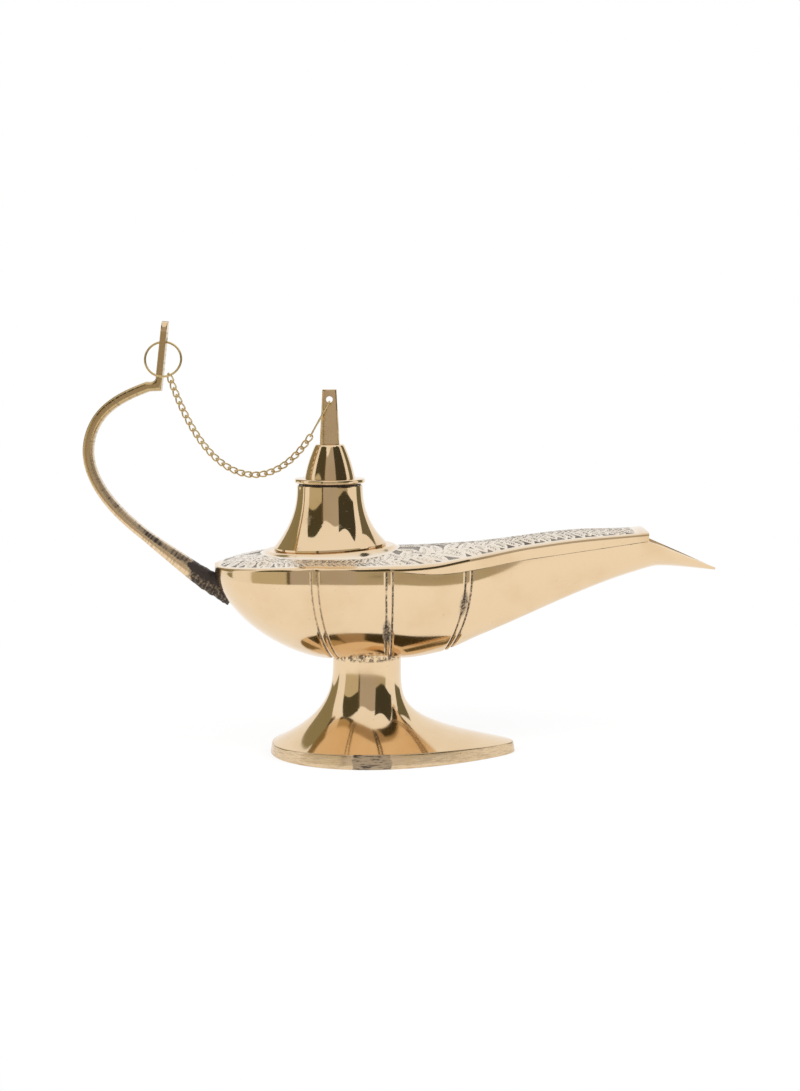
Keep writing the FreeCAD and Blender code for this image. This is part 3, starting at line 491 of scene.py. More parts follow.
def bowl_section(x, skin):
    """Points of the bowl's skin from the near rim under the keel to the far rim, bowed as the flutes are."""
    half = rim_half_width(x, skin)
    rim = rim_height(x)
    middle = keel_x(x) if half > 0.0 else x
    keel = min(keel_height(middle, skin), rim) if half > 0.0 else rim
    depth = rim - keel
    fine = 0.0 if skin else beading(x)
    draft = SPOUT_DRAFT * spout_share(x)
    section = []
    for turn in BOWL_TURNS:
        share = 1 - math.cos(turn)
        tuck = math.copysign(rim_tuck(x) * float(smooth_share(share, TUCK_FROM, 1.0)), turn)
        out, down = depth * math.sin(turn), half * math.cos(turn)
        inset = fine / max(math.hypot(out, down), 1e-6)
        section.append((
            mix(middle, x, 1 - (1 - share) ** FLUTE_BOW),
            half * math.sin(turn) * (1 - draft * math.cos(turn)) - inset * out - tuck,
            keel + depth * share + inset * down,
        ))
    return section


STERN_END_X = -45.0
STERN_STEPS = 30
FLUTE_NEAR = 3.5
BOWL_STRIDE = 0.6
FLUTE_STRIDE = 0.18


def lengthwise(coarse, fine, end):
    """Places along the lamp, closer together round its stern and in the flutes."""
    stern = STERN_END_X + BOWL_REAR_REACH
    turns = np.linspace(0, math.pi / 2, STERN_STEPS)
    places = [-BOWL_REAR_REACH + stern * (1 - math.cos(turn)) for turn in turns]
    while places[-1] < end - fine:
        near = min(abs(places[-1] - rim) for rim, keel in FLUTES)
        places.append(places[-1] + (fine if near < FLUTE_NEAR else coarse))
    return places + [end]


bowl_places = lengthwise(BOWL_STRIDE, FLUTE_STRIDE, LIP_TIP_X)
bowl_rows = [bowl_section(x, 0.0) + bowl_section(x, BOWL_WALL)[::-1] for x in bowl_places]


def underside(x, y):
    """Height of the bowl's outside above a place under it."""
    rim = float(np.interp(x, fan_keels, fan_rims))
    lean = min(1.0, abs(y) / max(rim_half_width(rim, 0.0), 1.0))
    share = 1 - math.sqrt(1 - lean * lean)
    return mix(keel_height(x, 0.0), rim_height(rim), share)


# The foot's stem follows the bowl's underside, and its joint is buried in the bowl's wall.
STEM_BURIAL = 0.6
stem_top = [(x, y, underside(x, y) + STEM_BURIAL) for x, y, z in foot_rows[-1]]
foot_rows += [stem_top, level_point(BOWL_BASE_HEIGHT + STEM_BURIAL)]
foot_marks += [0.0] * (len(foot_rows) - len(foot_marks))
foot = piece("foot_casting", foot_rows, foot_brass(), band=np.repeat(foot_marks, FOOT_COLUMNS))
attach(foot, "lamp")
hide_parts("foot")

LOW_BOWL = (52.0, 72.0)
STERN_CRUST_ASIDE = (4.2, 6.2)
STERN_CRUST_BOTTOM = (56.0, 60.0)
STERN_CRUST_AHEAD = (-60.5, -58.0)


def bowl_brass():
    """Bright polish, with dark residue and casting pits in the flutes and braze crust at the stern."""
    made = surface("bowl_brass")
    blank, place = made[2:]
    ahead, aside, height = place.coordinate(0) - stem_x, place.coordinate(1), place.coordinate(2)
    low = 1.0 - height.step(*LOW_BOWL)
    patches = (cloud(place, 190.0, 4.0, 0.7) + 0.10 * low).step(0.34, 0.54)
    fine = cloud(place, 1100.0, 3.0, 0.7).step(0.30, 0.56)
    beside = 1.0 - abs(aside).step(*STERN_CRUST_ASIDE)
    stern = (1.0 - ahead.step(*STERN_CRUST_AHEAD)) * beside * height.step(*STERN_CRUST_BOTTOM)
    ragged = (blank.mark("groove") + 0.5 * (cloud(place, 700.0, 3.0, 0.7) - 0.5)).step(0.30, 0.80)
    stain = ragged * (0.24 + 0.76 * patches * fine) + stern * (0.4 + 0.5 * fine)
    return polish(made, stain.clamp(), brushed(place, (60.0, 300.0, 300.0)), 0.20, 0.10, crust=8.0)


inside_clean = [0.0] * len(BOWL_TURNS)
bowl_grime = [[grime(x, math.cos(turn)) for turn in BOWL_TURNS] + inside_clean for x in bowl_places]
bowl = piece("bowl_casting", bowl_rows, bowl_brass(), groove=bowl_grime)
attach(bowl, "lamp")
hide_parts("bowl")

# Deck: the cast top plate with the roof of the spout, brazed along the bowl's rim.
# A leafy vine is chased into it, its ground blackened and its field painted paler as a highlight, inside a
# plain border and round a plain seat.
DECK_WALL = 2.2
DECK_CROWN_HEIGHT = bowl_rim_height + 5.5
DECK_SLOPE = 0.045
DECK_SHOULDER = 0.9
DECK_LEAN = 0.16
DECK_EDGE = 1.3
NECK_X = -14.8
NECK_BASE_RADIUS = 22.6
NECK_WALL = 2.2
SEAT_RADIUS = 25.4
SEAT_BLEND = 2.4
DECK_STRIDE = 0.36
DECK_FLUTE_STRIDE = 0.30
DECK_STEPS = 280
DECK_WALL_SHARES = (0, 0.1, 0.5, 0.9)
DECK_BELOW_STEPS = 41
seat_edge = SEAT_RADIUS + SEAT_BLEND
EDGE_LINE = [
    (-BOWL_REAR_REACH, 1.2), (FLUTES[1][0], DECK_EDGE), (FLUTES[2][0], 4.8),
    (SPOUT_ROOT_X + 10.0, 5.2), (SPOUT_END_X, 3.4),
]


def edge_height(x):
    """Height of the deck's edge, which stands higher over the rim along the spout."""
    return rim_height(x) + smooth_line(EDGE_LINE, x)


CROWN_LINE = [
    (-BOWL_REAR_REACH, bowl_rear_height + 1.6), (12.0 - BOWL_REAR_REACH, DECK_CROWN_HEIGHT - 3.2),
    (NECK_X - NECK_BASE_RADIUS, DECK_CROWN_HEIGHT - 1.4), (NECK_X, DECK_CROWN_HEIGHT),
    (NECK_X + NECK_BASE_RADIUS, DECK_CROWN_HEIGHT + 0.2), (SPOUT_ROOT_X - 26.0, DECK_CROWN_HEIGHT + 1.9),
    (SPOUT_ROOT_X + 25.0, spout_rim_height + 3.6), (SPOUT_END_X, edge_height(SPOUT_END_X) + 0.3),
]


def deck_top(x, reach, across):
    """Heights of the deck's top at x: a low crown with round shoulders, level round the neck's seat."""
    edge = edge_height(x)
    arch = mix(edge, smooth_line(CROWN_LINE, x), 1 - (across / max(reach, 0.01)) ** 2)
    over = np.clip((np.abs(across) - reach + DECK_SHOULDER) / DECK_SHOULDER, 0.0, 1.0)
    arch -= DECK_SHOULDER * (1 - np.sqrt(1 - over * over))
    seat = DECK_CROWN_HEIGHT + DECK_SLOPE * (x - NECK_X)
    return mix(seat, arch, smooth_share(np.hypot(x - NECK_X, across), SEAT_RADIUS, seat_edge))


deck_places = np.array(lengthwise(DECK_STRIDE, DECK_FLUTE_STRIDE, SPOUT_END_X))
deck_halves = np.array([rim_half_width(x, 0.0) - rim_tuck(x) for x in deck_places])
deck_leans = np.array([DECK_LEAN * max(0.0, smooth_line(EDGE_LINE, x) - DECK_EDGE) for x in deck_places])
deck_reaches = deck_halves + deck_leans
deck_shares = np.linspace(-1, 1, DECK_STEPS + 1)
deck_across = deck_reaches[:, None] * deck_shares[None, :]
deck_tops = np.array([deck_top(x, reach, y) for x, reach, y in zip(deck_places, deck_reaches, deck_across)])

VINE_BORDER = 3.2
VINE_END = 5.0
VINE_DEPTH = 0.16
SPOUT_BORDER = 1.5
BORDER_CHANGE = (12.0, 45.0)
STALK_WIDTH = 0.55
STALK_STRIDE = 0.3
STALK_WAVE = 0.16
STALK_WAVE_RATE = 0.62
LEAF_STEPS = 16
LEAF_TIP = 0.22
LEAF_LEAN = 0.62
LEAF_CURL = 0.42
MIDRIB_END = 13
MIDRIB_WIDTH = 0.26
VEIN_STEPS = (3, 5, 7, 9)
VEIN_WIDTH = 0.22
VEIN_SHARES = (0.2, 0.45, 0.7, 0.95)


def run_along(points):
    """Distance along a line of points from its first."""
    return np.concatenate([[0], np.cumsum(np.linalg.norm(np.diff(points, axis=0), axis=1))])


def heading(angle):
    """The way that an angle points, seen from above."""
    return np.array([math.cos(angle), math.sin(angle)])


def left_of(way):
    """A way, or each of many, turned a quarter to the left."""
    return np.stack([-way[..., 1], way[..., 0]], axis=-1)


class Chasing:
    """The vine's relief over the deck's grid: leaves stand at one, veins and ground are cut away."""

    def __init__(self):
        self.raised = np.zeros_like(deck_across)
        self.veins = np.zeros_like(deck_across)

    def line(self, layer, points, widths):
        """Stamps a round spot at each point, and its twin on the other side of the middle line."""
        for (x, y), width in zip(points, widths):
            first, last = np.searchsorted(deck_places, [x - width, x + width])
            along = deck_places[first:last, None] - x
            for side in (y, -y):
                across = deck_across[first:last] - side
                spot = 1 - ((across ** 2 + along ** 2) / width ** 2) ** 2
                np.maximum(layer[first:last], spot, out=layer[first:last])

    def leaf(self, base, way, length, width, curl):
        """A curling leaf with a cut midrib and side veins."""
        shares = np.linspace(0, 1, LEAF_STEPS)
        ahead = heading(way)
        beside = left_of(ahead)
        spine = [base + ahead * length * t + beside * curl * length * t * t for t in shares]
        widths = [LEAF_TIP + width * math.sin(math.pi * t ** 0.8) for t in shares]
        self.line(self.raised, spine, widths)
        self.line(self.veins, spine[1:MIDRIB_END], [MIDRIB_WIDTH] * (MIDRIB_END - 1))
        for i in VEIN_STEPS:
            for hand in (1, -1):
                reach = (ahead * 0.8 + beside * hand) * widths[i] * 0.62
                vein = [spine[i] + reach * t for t in VEIN_SHARES]
                self.line(self.veins, vein, [VEIN_WIDTH] * len(vein))


def vine_path():
    """The vine's line from the stern round the seat and along the spout, and the room beside it."""
    path, rooms = [], []
    for around in np.radians(np.linspace(180, 48, 60)):
        way = heading(around)
        outer = seat_edge
        while outer < 60 and rim_half_width(NECK_X + way[0] * outer, 0.0) - VINE_BORDER > way[1] * outer:
            outer += 0.5
        outer = max(outer, seat_edge + 3.0)
        path.append(np.array([NECK_X, 0.0]) + way * (seat_edge + outer) / 2)
        rooms.append((outer - seat_edge) / 2)
    bend_x, bend_y = path[-1]
    for x in np.arange(bend_x + 1.0, SPOUT_END_X - VINE_END, 1.0):
        room = rim_half_width(x, 0.0) - SPOUT_BORDER
        blend = min(1.0, (x - bend_x) / 22.0)
        path.append(np.array([x, mix(bend_y, 0.52 * room, blend)]))
        rooms.append(max(2.0, 0.46 * room))
    return np.array(path), rooms


def chase_vine(chasing):
    """The waving stalk, with a pair of leaves at each step along it."""
    path, rooms = vine_path()
    runs = run_along(path)
    even = np.arange(0, runs[-1], STALK_STRIDE)
    track = np.stack([np.interp(even, runs, path[:, axis]) for axis in (0, 1)], axis=1)
    room_at = np.interp(even, runs, rooms)
    ways = np.gradient(track, axis=0)
    beside = left_of(ways) / np.linalg.norm(ways, axis=1)[:, None]
    track = track + beside * (STALK_WAVE * room_at * np.sin(even * STALK_WAVE_RATE))[:, None]
    chasing.line(chasing.raised, track, [STALK_WIDTH] * len(track))
    at, hand = 1.2, 1
    while at < even[-1] - 2.0:
        i = int(at / STALK_STRIDE)
        way = math.atan2(ways[i, 1], ways[i, 0])
        length = min(11.0, 1.18 * room_at[i])
        for side, reach in ((hand, 1.0), (-hand, 0.82)):
            lean, curl = way + side * LEAF_LEAN, side * LEAF_CURL
            chasing.leaf(track[i], lean, length * reach * 1.15, 0.24 * length, curl)
        hand = -hand
        at += max(2.3, 0.50 * length)


def chase_sprigs(chasing):
    """Single leaves along the middle of the spout, and a fan of larger ones in front of the seat."""
    for x in np.arange(NECK_X + seat_edge + 2.0, SPOUT_END_X - VINE_END, 4.0):
        room = rim_half_width(x, 0.0) - SPOUT_BORDER
        chasing.leaf(np.array([x, 0.0]), 0.55, min(7.0, 0.30 * room + 3.0), 0.75, 0.25)
    for around in np.radians([0, 17, 34]):
        way = heading(around)
        base = np.array([NECK_X, 0.0]) + way * (seat_edge + 0.4)
        chasing.leaf(base, around + 0.1, 8.5, 2.3, 0.12)
        chasing.leaf(base + way * 7.0 + left_of(way) * 3.0, around, 7.0, 1.7, 0.15)


def chased_relief():
    """How deep the deck is cut at each point of its grid, from nothing on the border to one in the ground.

    The second grid says where the chased field is, and where the plain border.
    """
    chasing = Chasing()
    chase_vine(chasing)
    chase_sprigs(chasing)
    along = deck_places[:, None]
    borders = mix(VINE_BORDER, SPOUT_BORDER, smooth_share(deck_places, *BORDER_CHANGE))
    room = deck_reaches[:, None] - np.abs(deck_across) - borders[:, None]
    room = np.minimum(room, np.hypot(along - NECK_X, deck_across) - seat_edge)
    room = np.minimum(room, SPOUT_END_X - VINE_END - along)
    room = np.minimum(room, along + BOWL_REAR_REACH - VINE_BORDER)
    ground = 1 - np.clip(chasing.raised * 1.6, 0, 1)
    cut = np.maximum(ground, 0.75 * np.clip(chasing.veins * 1.5, 0, 1))
    return cut * smooth_share(room, 0.0, 0.7), smooth_share(room, -2.0, 0.0)


deck_cut, deck_field = chased_relief()
deck_rows, deck_ground, deck_highlight = [], [], []
for i, x in enumerate(deck_places):
    half, rim = deck_halves[i], rim_height(x)
    inner = rim_half_width(x, DECK_WALL)
    heights = deck_tops[i] - VINE_DEPTH * deck_cut[i]
    top = [(x, y, z) for y, z in zip(deck_across[i], heights)]
    below = []
    for share in np.linspace(1, -1, DECK_BELOW_STEPS):
        level = np.interp(share, deck_shares, deck_tops[i]) - DECK_WALL
        below.append((x, inner * share, max(rim, level)))
    below[0], below[-1] = (x, inner, rim), (x, -inner, rim)
    wall = [(x, -half - deck_leans[i] * share, mix(rim, heights[0], share)) for share in DECK_WALL_SHARES]
    far_wall = [(x, -y, z) for x, y, z in wall[::-1]]
    deck_rows.append(wall + top + far_wall + below)
    before, after = [0.0] * len(wall), [0.0] * (len(far_wall) + len(below))
    deck_ground.append(before + [*deck_cut[i]] + after)
    deck_highlight.append(before + [*deck_field[i]] + after)

# A paler brass painted on the chased field, standing in for the bright highlight on its raised leaves.
HIGHLIGHT_BRASS = (0.87, 0.78, 0.66, 1.0)


def deck_brass():
    """Leaves painted pale as a highlight on a blackened ground, in a plain polished border."""
    made = surface("deck_brass")
    blank, place = made[2:]
    wear_and_highlight = cloud(place, 130.0, 3.0).step(0.30, 0.70)
    grain = cloud(place, 1800.0, 2.0).step(0.35, 0.65)
    stain = blank.mark("ground").step(0.22, 0.75) * (0.62 + 0.23 * wear_and_highlight + 0.15 * grain)
    # Painted highlight: the chased field takes the paler brass.
    highlighted_colour = blank.mark("field").blend(BRASS, HIGHLIGHT_BRASS)
    return polish(made, stain, brushed(place, (80.0, 300.0, 300.0)), 0.30, 0.13, highlighted_colour)


def drill(made, place, radius, depth, lean=0.0):
    """Cuts a round hole through a piece about a place in millimetres, upright or leaning towards +X."""
    bpy.ops.mesh.primitive_cylinder_add(
        vertices=96, radius=radius * MM, depth=depth * MM, rotation=(0, lean, 0),
        location=((place[0] + stem_x) * MM, place[1] * MM, place[2] * MM),
    )
    tool = bpy.context.object
    cut = made.modifiers.new("drilled", "BOOLEAN")
    cut.operation = "DIFFERENCE"
    cut.object = tool
    cut.solver = "EXACT"
    with bpy.context.temp_override(object=made, active_object=made, selected_objects=[made]):
        bpy.ops.object.modifier_apply(modifier=cut.name)
    bpy.data.objects.remove(tool)


DECK_DRILL_DEPTH = 30.0
deck = piece("deck_plate", deck_rows, deck_brass(), ground=deck_ground, field=deck_highlight)
drill(deck, (NECK_X, 0, DECK_CROWN_HEIGHT), NECK_BASE_RADIUS - NECK_WALL, DECK_DRILL_DEPTH)
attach(deck, "lamp")
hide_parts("deck")

# Braze line: the thin dark seam that runs along the spout where the deck's side meets the bowl.
# A hair of darkened filler, rubbed flush with the polish on either side.
SEAM_FROM = 14.0
SEAM_STRIDE = 0.5
SEAM_RADIUS = 0.16
SEAM_PROUD = 0.06
SEAM_COLUMNS = 8


def seam_row(x, side):
    """The round section of the filler at x, on the near side or the far one."""
    middle = side * (rim_half_width(x, 0.0) - rim_tuck(x) + SEAM_PROUD - SEAM_RADIUS)
    return [
        (x, middle + SEAM_RADIUS * math.cos(turn), rim_height(x) + SEAM_RADIUS * math.sin(turn))
        for turn in round_turns(SEAM_COLUMNS)
    ]


def seam_brass():
    """Filler gone dark in places."""
    made = surface("seam_brass")
    place = made[3]
    dark = 0.45 + 0.5 * cloud(place, 160.0, 3.0).step(0.40, 0.62)
    return polish(made, dark, brushed(place, (300.0, 300.0, 300.0)), 0.4, 0.3)


seam_finish = seam_brass()
for side, name in ((-1, "braze_line_near"), (1, "braze_line_far")):
    seam_rows = [seam_row(x, side) for x in np.arange(SEAM_FROM, SPOUT_END_X, SEAM_STRIDE)]
    seam = piece(name, seam_rows, seam_finish)
    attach(seam, "lamp")

# Neck: a bell turned from brass and brazed on the deck's seat.
# Polished to a mirror, with the fine rings that turning leaves, open at the top for the lid's plug.
NECK_TOP_RADIUS = 13.2
NECK_HEIGHT = 25.1
NECK_FLARE = 2.35
NECK_FOOT = 1.0
NECK_FOOT_EDGE = 0.2
NECK_FOOT_SIDE = 0.7
NECK_LIP_ROUND = 0.35
NECK_LIP_STEPS = 7
NECK_SIDE_END = 0.985
NECK_LEVELS = 56
NECK_CROWDING = 1.3
TURNED_COLUMNS = 160
neck_top_height = DECK_CROWN_HEIGHT + NECK_HEIGHT


def turned_loop(radius, height, lean=0.0):
    """A level loop about the neck's axis; lean tips it along the deck's slope."""
    loop = []
    for turn in round_turns(TURNED_COLUMNS):
        x = radius * math.cos(turn)
        loop.append((NECK_X + x, radius * math.sin(turn), height + lean * x))
    return loop


def neck_side(skin, share):
    """The loop of the bell at a share of its height, drawn in by skin."""
    radius = mix(NECK_TOP_RADIUS, NECK_BASE_RADIUS, (1 - share) ** NECK_FLARE) - skin
    foot_top = DECK_CROWN_HEIGHT + NECK_FOOT
    return turned_loop(radius, mix(foot_top, neck_top_height, share), DECK_SLOPE * (1 - share) ** 2)


neck_shares = [share ** NECK_CROWDING for share in np.linspace(0, 1, NECK_LEVELS)]
neck_shares = [share for share in neck_shares if share < NECK_SIDE_END]
neck_foot = [
    (NECK_BASE_RADIUS - NECK_WALL, 0.0), (NECK_BASE_RADIUS - NECK_FOOT_EDGE, 0.0),
    (NECK_BASE_RADIUS, NECK_FOOT_EDGE), (NECK_BASE_RADIUS, NECK_FOOT_SIDE),
]
neck_rows = [turned_loop(radius, DECK_CROWN_HEIGHT + height, DECK_SLOPE) for radius, height in neck_foot]
neck_rows += [neck_side(0.0, share) for share in neck_shares]
for turn in np.linspace(0, math.pi, NECK_LIP_STEPS):
    radius = NECK_TOP_RADIUS - NECK_LIP_ROUND + NECK_LIP_ROUND * math.cos(turn)
    neck_rows.append(turned_loop(radius, neck_top_height - NECK_LIP_ROUND + NECK_LIP_ROUND * math.sin(turn)))
neck_rows += [neck_side(NECK_WALL, share) for share in neck_shares[::-1]]
neck_rows.append(neck_rows[0])


def turned_brass(name, smoothness, groove=None):
    """Mirror polish over the fine rings left by turning, and black painted shade between a groove's two
    heights.
    """
    made = surface(name)
    place = made[3]
    stain = 0.20 * cloud(place, 260.0, 3.0).step(0.62, 0.80)
    if groove:
        bottom, top = groove
        height = place.coordinate(2)
        # Painted shade: black between the two heights, for the dark gap under the lid's flange.
        stain = stain + height.step(bottom, bottom + 0.05) * (1.0 - height.step(top, top + 0.1))
    return polish(made, stain.clamp(), brushed(place, (40.0, 40.0, 2600.0)), 0.30, smoothness)


neck = piece("neck_bell", neck_rows, turned_brass("neck_brass", 0.05))
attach(neck, "lamp")
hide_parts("neck")

# Lid: turned from brass in one piece, with its plug, seat, flange and cone.
# It drops into the neck and is kept from getting lost by the chain.
PLUG_RADIUS = NECK_TOP_RADIUS - NECK_WALL - 0.4
PLUG_DEPTH = 7.0
PLUG_EDGE = 0.5
LID_GAP = 0.8
LID_SEAT_RADIUS = NECK_TOP_RADIUS - 0.8
FLANGE_RADIUS = NECK_TOP_RADIUS + 0.9
FLANGE_THICKNESS = 1.8
FLANGE_ROUND = 0.6
FLANGE_STEPS = 6
CONE_FOOT_RADIUS = 10.1
CONE_TOP_RADIUS = 5.8
CONE_HEIGHT = 13.4
CONE_BULGE = 0.5
CONE_STEPS = 22
CONE_EDGE = 0.3
CONE_CAP = 0.2
plug_bottom = neck_top_height - PLUG_DEPTH
flange_bottom = neck_top_height + LID_GAP
flange_top = flange_bottom + FLANGE_THICKNESS
cone_top = flange_top + CONE_HEIGHT


def lid_profile():
    """Half section of the turned lid from the plug's middle up to the cone's top."""
    profile = [
        (0.0, plug_bottom), (PLUG_RADIUS - PLUG_EDGE, plug_bottom), (PLUG_RADIUS, plug_bottom + PLUG_EDGE),
        (PLUG_RADIUS, neck_top_height), (LID_SEAT_RADIUS, neck_top_height), (LID_SEAT_RADIUS, flange_bottom),
    ]
    for start, middle in ((-math.pi / 2, flange_bottom + FLANGE_ROUND), (0.0, flange_top - FLANGE_ROUND)):
        for turn in np.linspace(start, start + math.pi / 2, FLANGE_STEPS):
            radius = FLANGE_RADIUS - FLANGE_ROUND + FLANGE_ROUND * math.cos(turn)
            profile.append((radius, middle + FLANGE_ROUND * math.sin(turn)))
    for t in np.linspace(0, 1, CONE_STEPS):
        radius = mix(CONE_FOOT_RADIUS, CONE_TOP_RADIUS, t) + 4 * CONE_BULGE * t * (1 - t)
        profile.append((radius, flange_top + CONE_HEIGHT * t))
    return profile + [(CONE_TOP_RADIUS - CONE_EDGE, cone_top + CONE_CAP), (0.0, cone_top + CONE_CAP)]


lid_rows = [turned_loop(radius, height) for radius, height in lid_profile()]
# The lid's seat, from the neck's top up to the flange, is painted black as the shade in the gap.
lid = piece("lid_turning", lid_rows, turned_brass("lid_brass", 0.07, (neck_top_height, flange_bottom)))
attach(lid, "lid")
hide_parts("lid")

# Tang: the flat tongue on top of the lid, filed from the same bar of brass.
# It tapers upwards and its two faces are a little crowned.
# A hole is drilled through it for the chain's hook.
TANG_HEIGHT = 22.2
TANG_FOOT_WIDTH = 8.2
TANG_TOP_WIDTH = 5.7
TANG_THICKNESS = 3.0
TANG_HOLE_RADIUS = 1.3
TANG_HOLE_FROM_TOP = 4.0
TANG_HOLE_EDGE = 0.2
TANG_HOLE_EDGE_SHARE = 0.06
TANG_ROOT = 2.0
TANG_EDGE = 0.5
TANG_EDGE_MIDDLE = 0.15
TANG_CROWN = 0.7
TANG_FACE_SHARES = np.linspace(0.2, 1.0, 6)
TANG_COLUMNS = 96
tang_top = cone_top + TANG_HEIGHT
tang_hole_height = tang_top - TANG_HOLE_FROM_TOP


def tang_outline(turn, inset):
    """Point of the tang's outline seen from the hole along a direction, drawn in by inset."""
    ahead, up = math.cos(turn), math.sin(turn)
    foot_z = cone_top - TANG_ROOT - tang_hole_height
    top_z = TANG_HOLE_FROM_TOP - inset
    rise = tang_top - cone_top + TANG_ROOT
    taper = (TANG_FOOT_WIDTH - TANG_TOP_WIDTH) / 2 / rise
    side = TANG_TOP_WIDTH / 2 - inset + taper * TANG_HOLE_FROM_TOP
    limits = [(top_z, up), (foot_z, up), (side, abs(ahead) + taper * up)]
    reach = min(limit / part for limit, part in limits if limit * part > 1e-9)
    return reach * ahead, reach * up


def tang_loop(reach, inset, drop, side):
    """A loop round the hole on one crowned face, at a share of the way to the outline drawn in by inset."""
    loop = []
    for turn in round_turns(TANG_COLUMNS):
        edge_x, edge_z = tang_outline(turn, inset)
        hole_x, hole_z = TANG_HOLE_RADIUS * math.cos(turn), TANG_HOLE_RADIUS * math.sin(turn)
        x = mix(hole_x, edge_x, reach)
        z = mix(hole_z, edge_z, reach)
        depth = TANG_THICKNESS / 2 - drop - TANG_CROWN * (2 * x / TANG_FOOT_WIDTH) ** 2
        loop.append((x + NECK_X, side * depth, z + tang_hole_height))
    return loop


tang_steps = [(0.0, TANG_EDGE, TANG_HOLE_EDGE), (TANG_HOLE_EDGE_SHARE, TANG_EDGE, 0.0)]
tang_steps += [(share, TANG_EDGE, 0.0) for share in TANG_FACE_SHARES]
tang_steps += [(1.0, TANG_EDGE_MIDDLE, TANG_EDGE_MIDDLE), (1.0, 0.0, TANG_EDGE)]
tang_rows = [tang_loop(*step, -1) for step in tang_steps]
tang_rows += [tang_loop(*step, 1) for step in tang_steps[::-1]]
tang_rows.append(tang_rows[0])

BROWN_BRASS = (0.56, 0.41, 0.21, 1.0)
BROWN_RUN = (50.0, 100.0)
HIGHLIGHT_EDGE = 0.5
CRUST_RAGGED = 12.0
CRUST_FADE = 4.0


def filed_brass(name, smoothness, stain_level, crust_from=None, highlight_from=None):
    """Filed and rubbed brass: strokes across the piece with polish left in them.

    Braze crust covers it ahead of crust_from, and past the run where the highlight starts it is painted
    bright, a painted highlight free of brown and stain.
    """
    made = surface(name)
    blank, place = made[2:]
    run = blank.mark("run")
    strokes = {"W": run + 0.5 * cloud(place, 160.0, 1.0), "Scale": 0.9, "Detail": 1.0}
    across = blank.node("ShaderNodeTexNoise", {"noise_dimensions": "1D"}, strokes)
    blotches = cloud(place, 120.0, 4.0, 0.65).step(0.38, 0.66)
    stain = stain_level * (0.15 + 0.85 * blotches) * across.step(0.42, 0.68)
    # The flank mark adds a painted dark reflection: a dark band along the strap's inner flanks.
    stain = stain + blank.mark("smoke") * (0.55 + 0.40 * blotches)
    if crust_from is not None:
        ragged = place.coordinate(0) - stem_x + CRUST_RAGGED * (cloud(place, 260.0, 4.0, 0.7) - 0.5)
        lumps = cloud(place, 1100.0, 3.0).step(0.30, 0.60)
        stain = stain + ragged.step(crust_from, crust_from + CRUST_FADE) * (0.72 + 0.28 * lumps)
    brown = run.step(*BROWN_RUN)
    # Painted highlight: past its start the run is bright brass with no brown and no stain, as where light
    # falls on the finial's top.
    if highlight_from is not None:
        wear_and_highlight = 1.0 - run.step(highlight_from - HIGHLIGHT_EDGE, highlight_from + HIGHLIGHT_EDGE)
        brown, stain = brown * wear_and_highlight, stain * wear_and_highlight
    colour = brown.blend(BRASS, BROWN_BRASS)
    return polish(made, stain.clamp(), across, 0.10, smoothness, colour, crust=10.0, grain=0.25)


TANG_STROKES = 4.0
tang_runs = [[TANG_STROKES * x for x, y, z in row] for row in tang_rows]
tang = piece("lid_tang", tang_rows, filed_brass("tang_brass", 0.11, 0.15), run=tang_runs)
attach(tang, "lid")
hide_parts("lid")

# Handle: a cast strap that swells at its root, curls over, and ends in an upright drilled finial.
# Its sides are filed across, its faces polished, and its root is brazed to the back of the bowl.
HANDLE_HALF_WIDTH = 3.8
HANDLE_THICKNESS = 4.2
HANDLE_ROOT_THICKNESS = 9.6
HANDLE_ROOT_LENGTH = 42.0
# The strap's middle line from the bowl's rear edge.
HANDLE_LINE = [
    (7.3, -11.3), (-2.9, -5.6), (-17.3, 4.7), (-31.7, 15.9), (-43.7, 28.5),
    (-50.3, 46.1), (-45.3, 60.7), (-35.7, 68.3), (-22.3, 73.8),
]
HANDLE_STEPS = 170
FINIAL_SET = (0.4, -2.9)
FINIAL_LEAN = 3.2
FINIAL_HEIGHT = 27.6
FINIAL_HALF_WIDTH = 3.4
FINIAL_FOOT_THICKNESS = 2.8
FINIAL_TOP_THICKNESS = 2.6
FINIAL_HOLE_RADIUS = 1.3
FINIAL_HOLE_FROM_TOP = 7.6
FINIAL_STEPS = 48


def spline(points, count):
    """Evenly spaced points along the natural cubic curve through points."""
    points = np.asarray(points, float)
    runs = np.linalg.norm(np.diff(points, axis=0), axis=1)
    at = run_along(points)
    size = len(points)
    system = np.zeros((size, size))
    right = np.zeros((size, 2))
    system[0, 0] = system[-1, -1] = 1.0
    for i in range(1, size - 1):
        system[i, i - 1:i + 2] = runs[i - 1], 2 * (runs[i - 1] + runs[i]), runs[i]
        right[i] = 6 * ((points[i + 1] - points[i]) / runs[i] - (points[i] - points[i - 1]) / runs[i - 1])
    bend = np.linalg.solve(system, right)
    line = []
    for t in np.linspace(0, at[-1], count):
        i = min(size - 2, int(np.searchsorted(at, t, side="right")) - 1)
        a, b, run = at[i + 1] - t, t - at[i], runs[i]
        line.append(
            bend[i] * a ** 3 / (6 * run) + bend[i + 1] * b ** 3 / (6 * run)
            + (points[i] / run - bend[i] * run / 6) * a + (points[i + 1] / run - bend[i + 1] * run / 6) * b
        )
    return np.array(line)


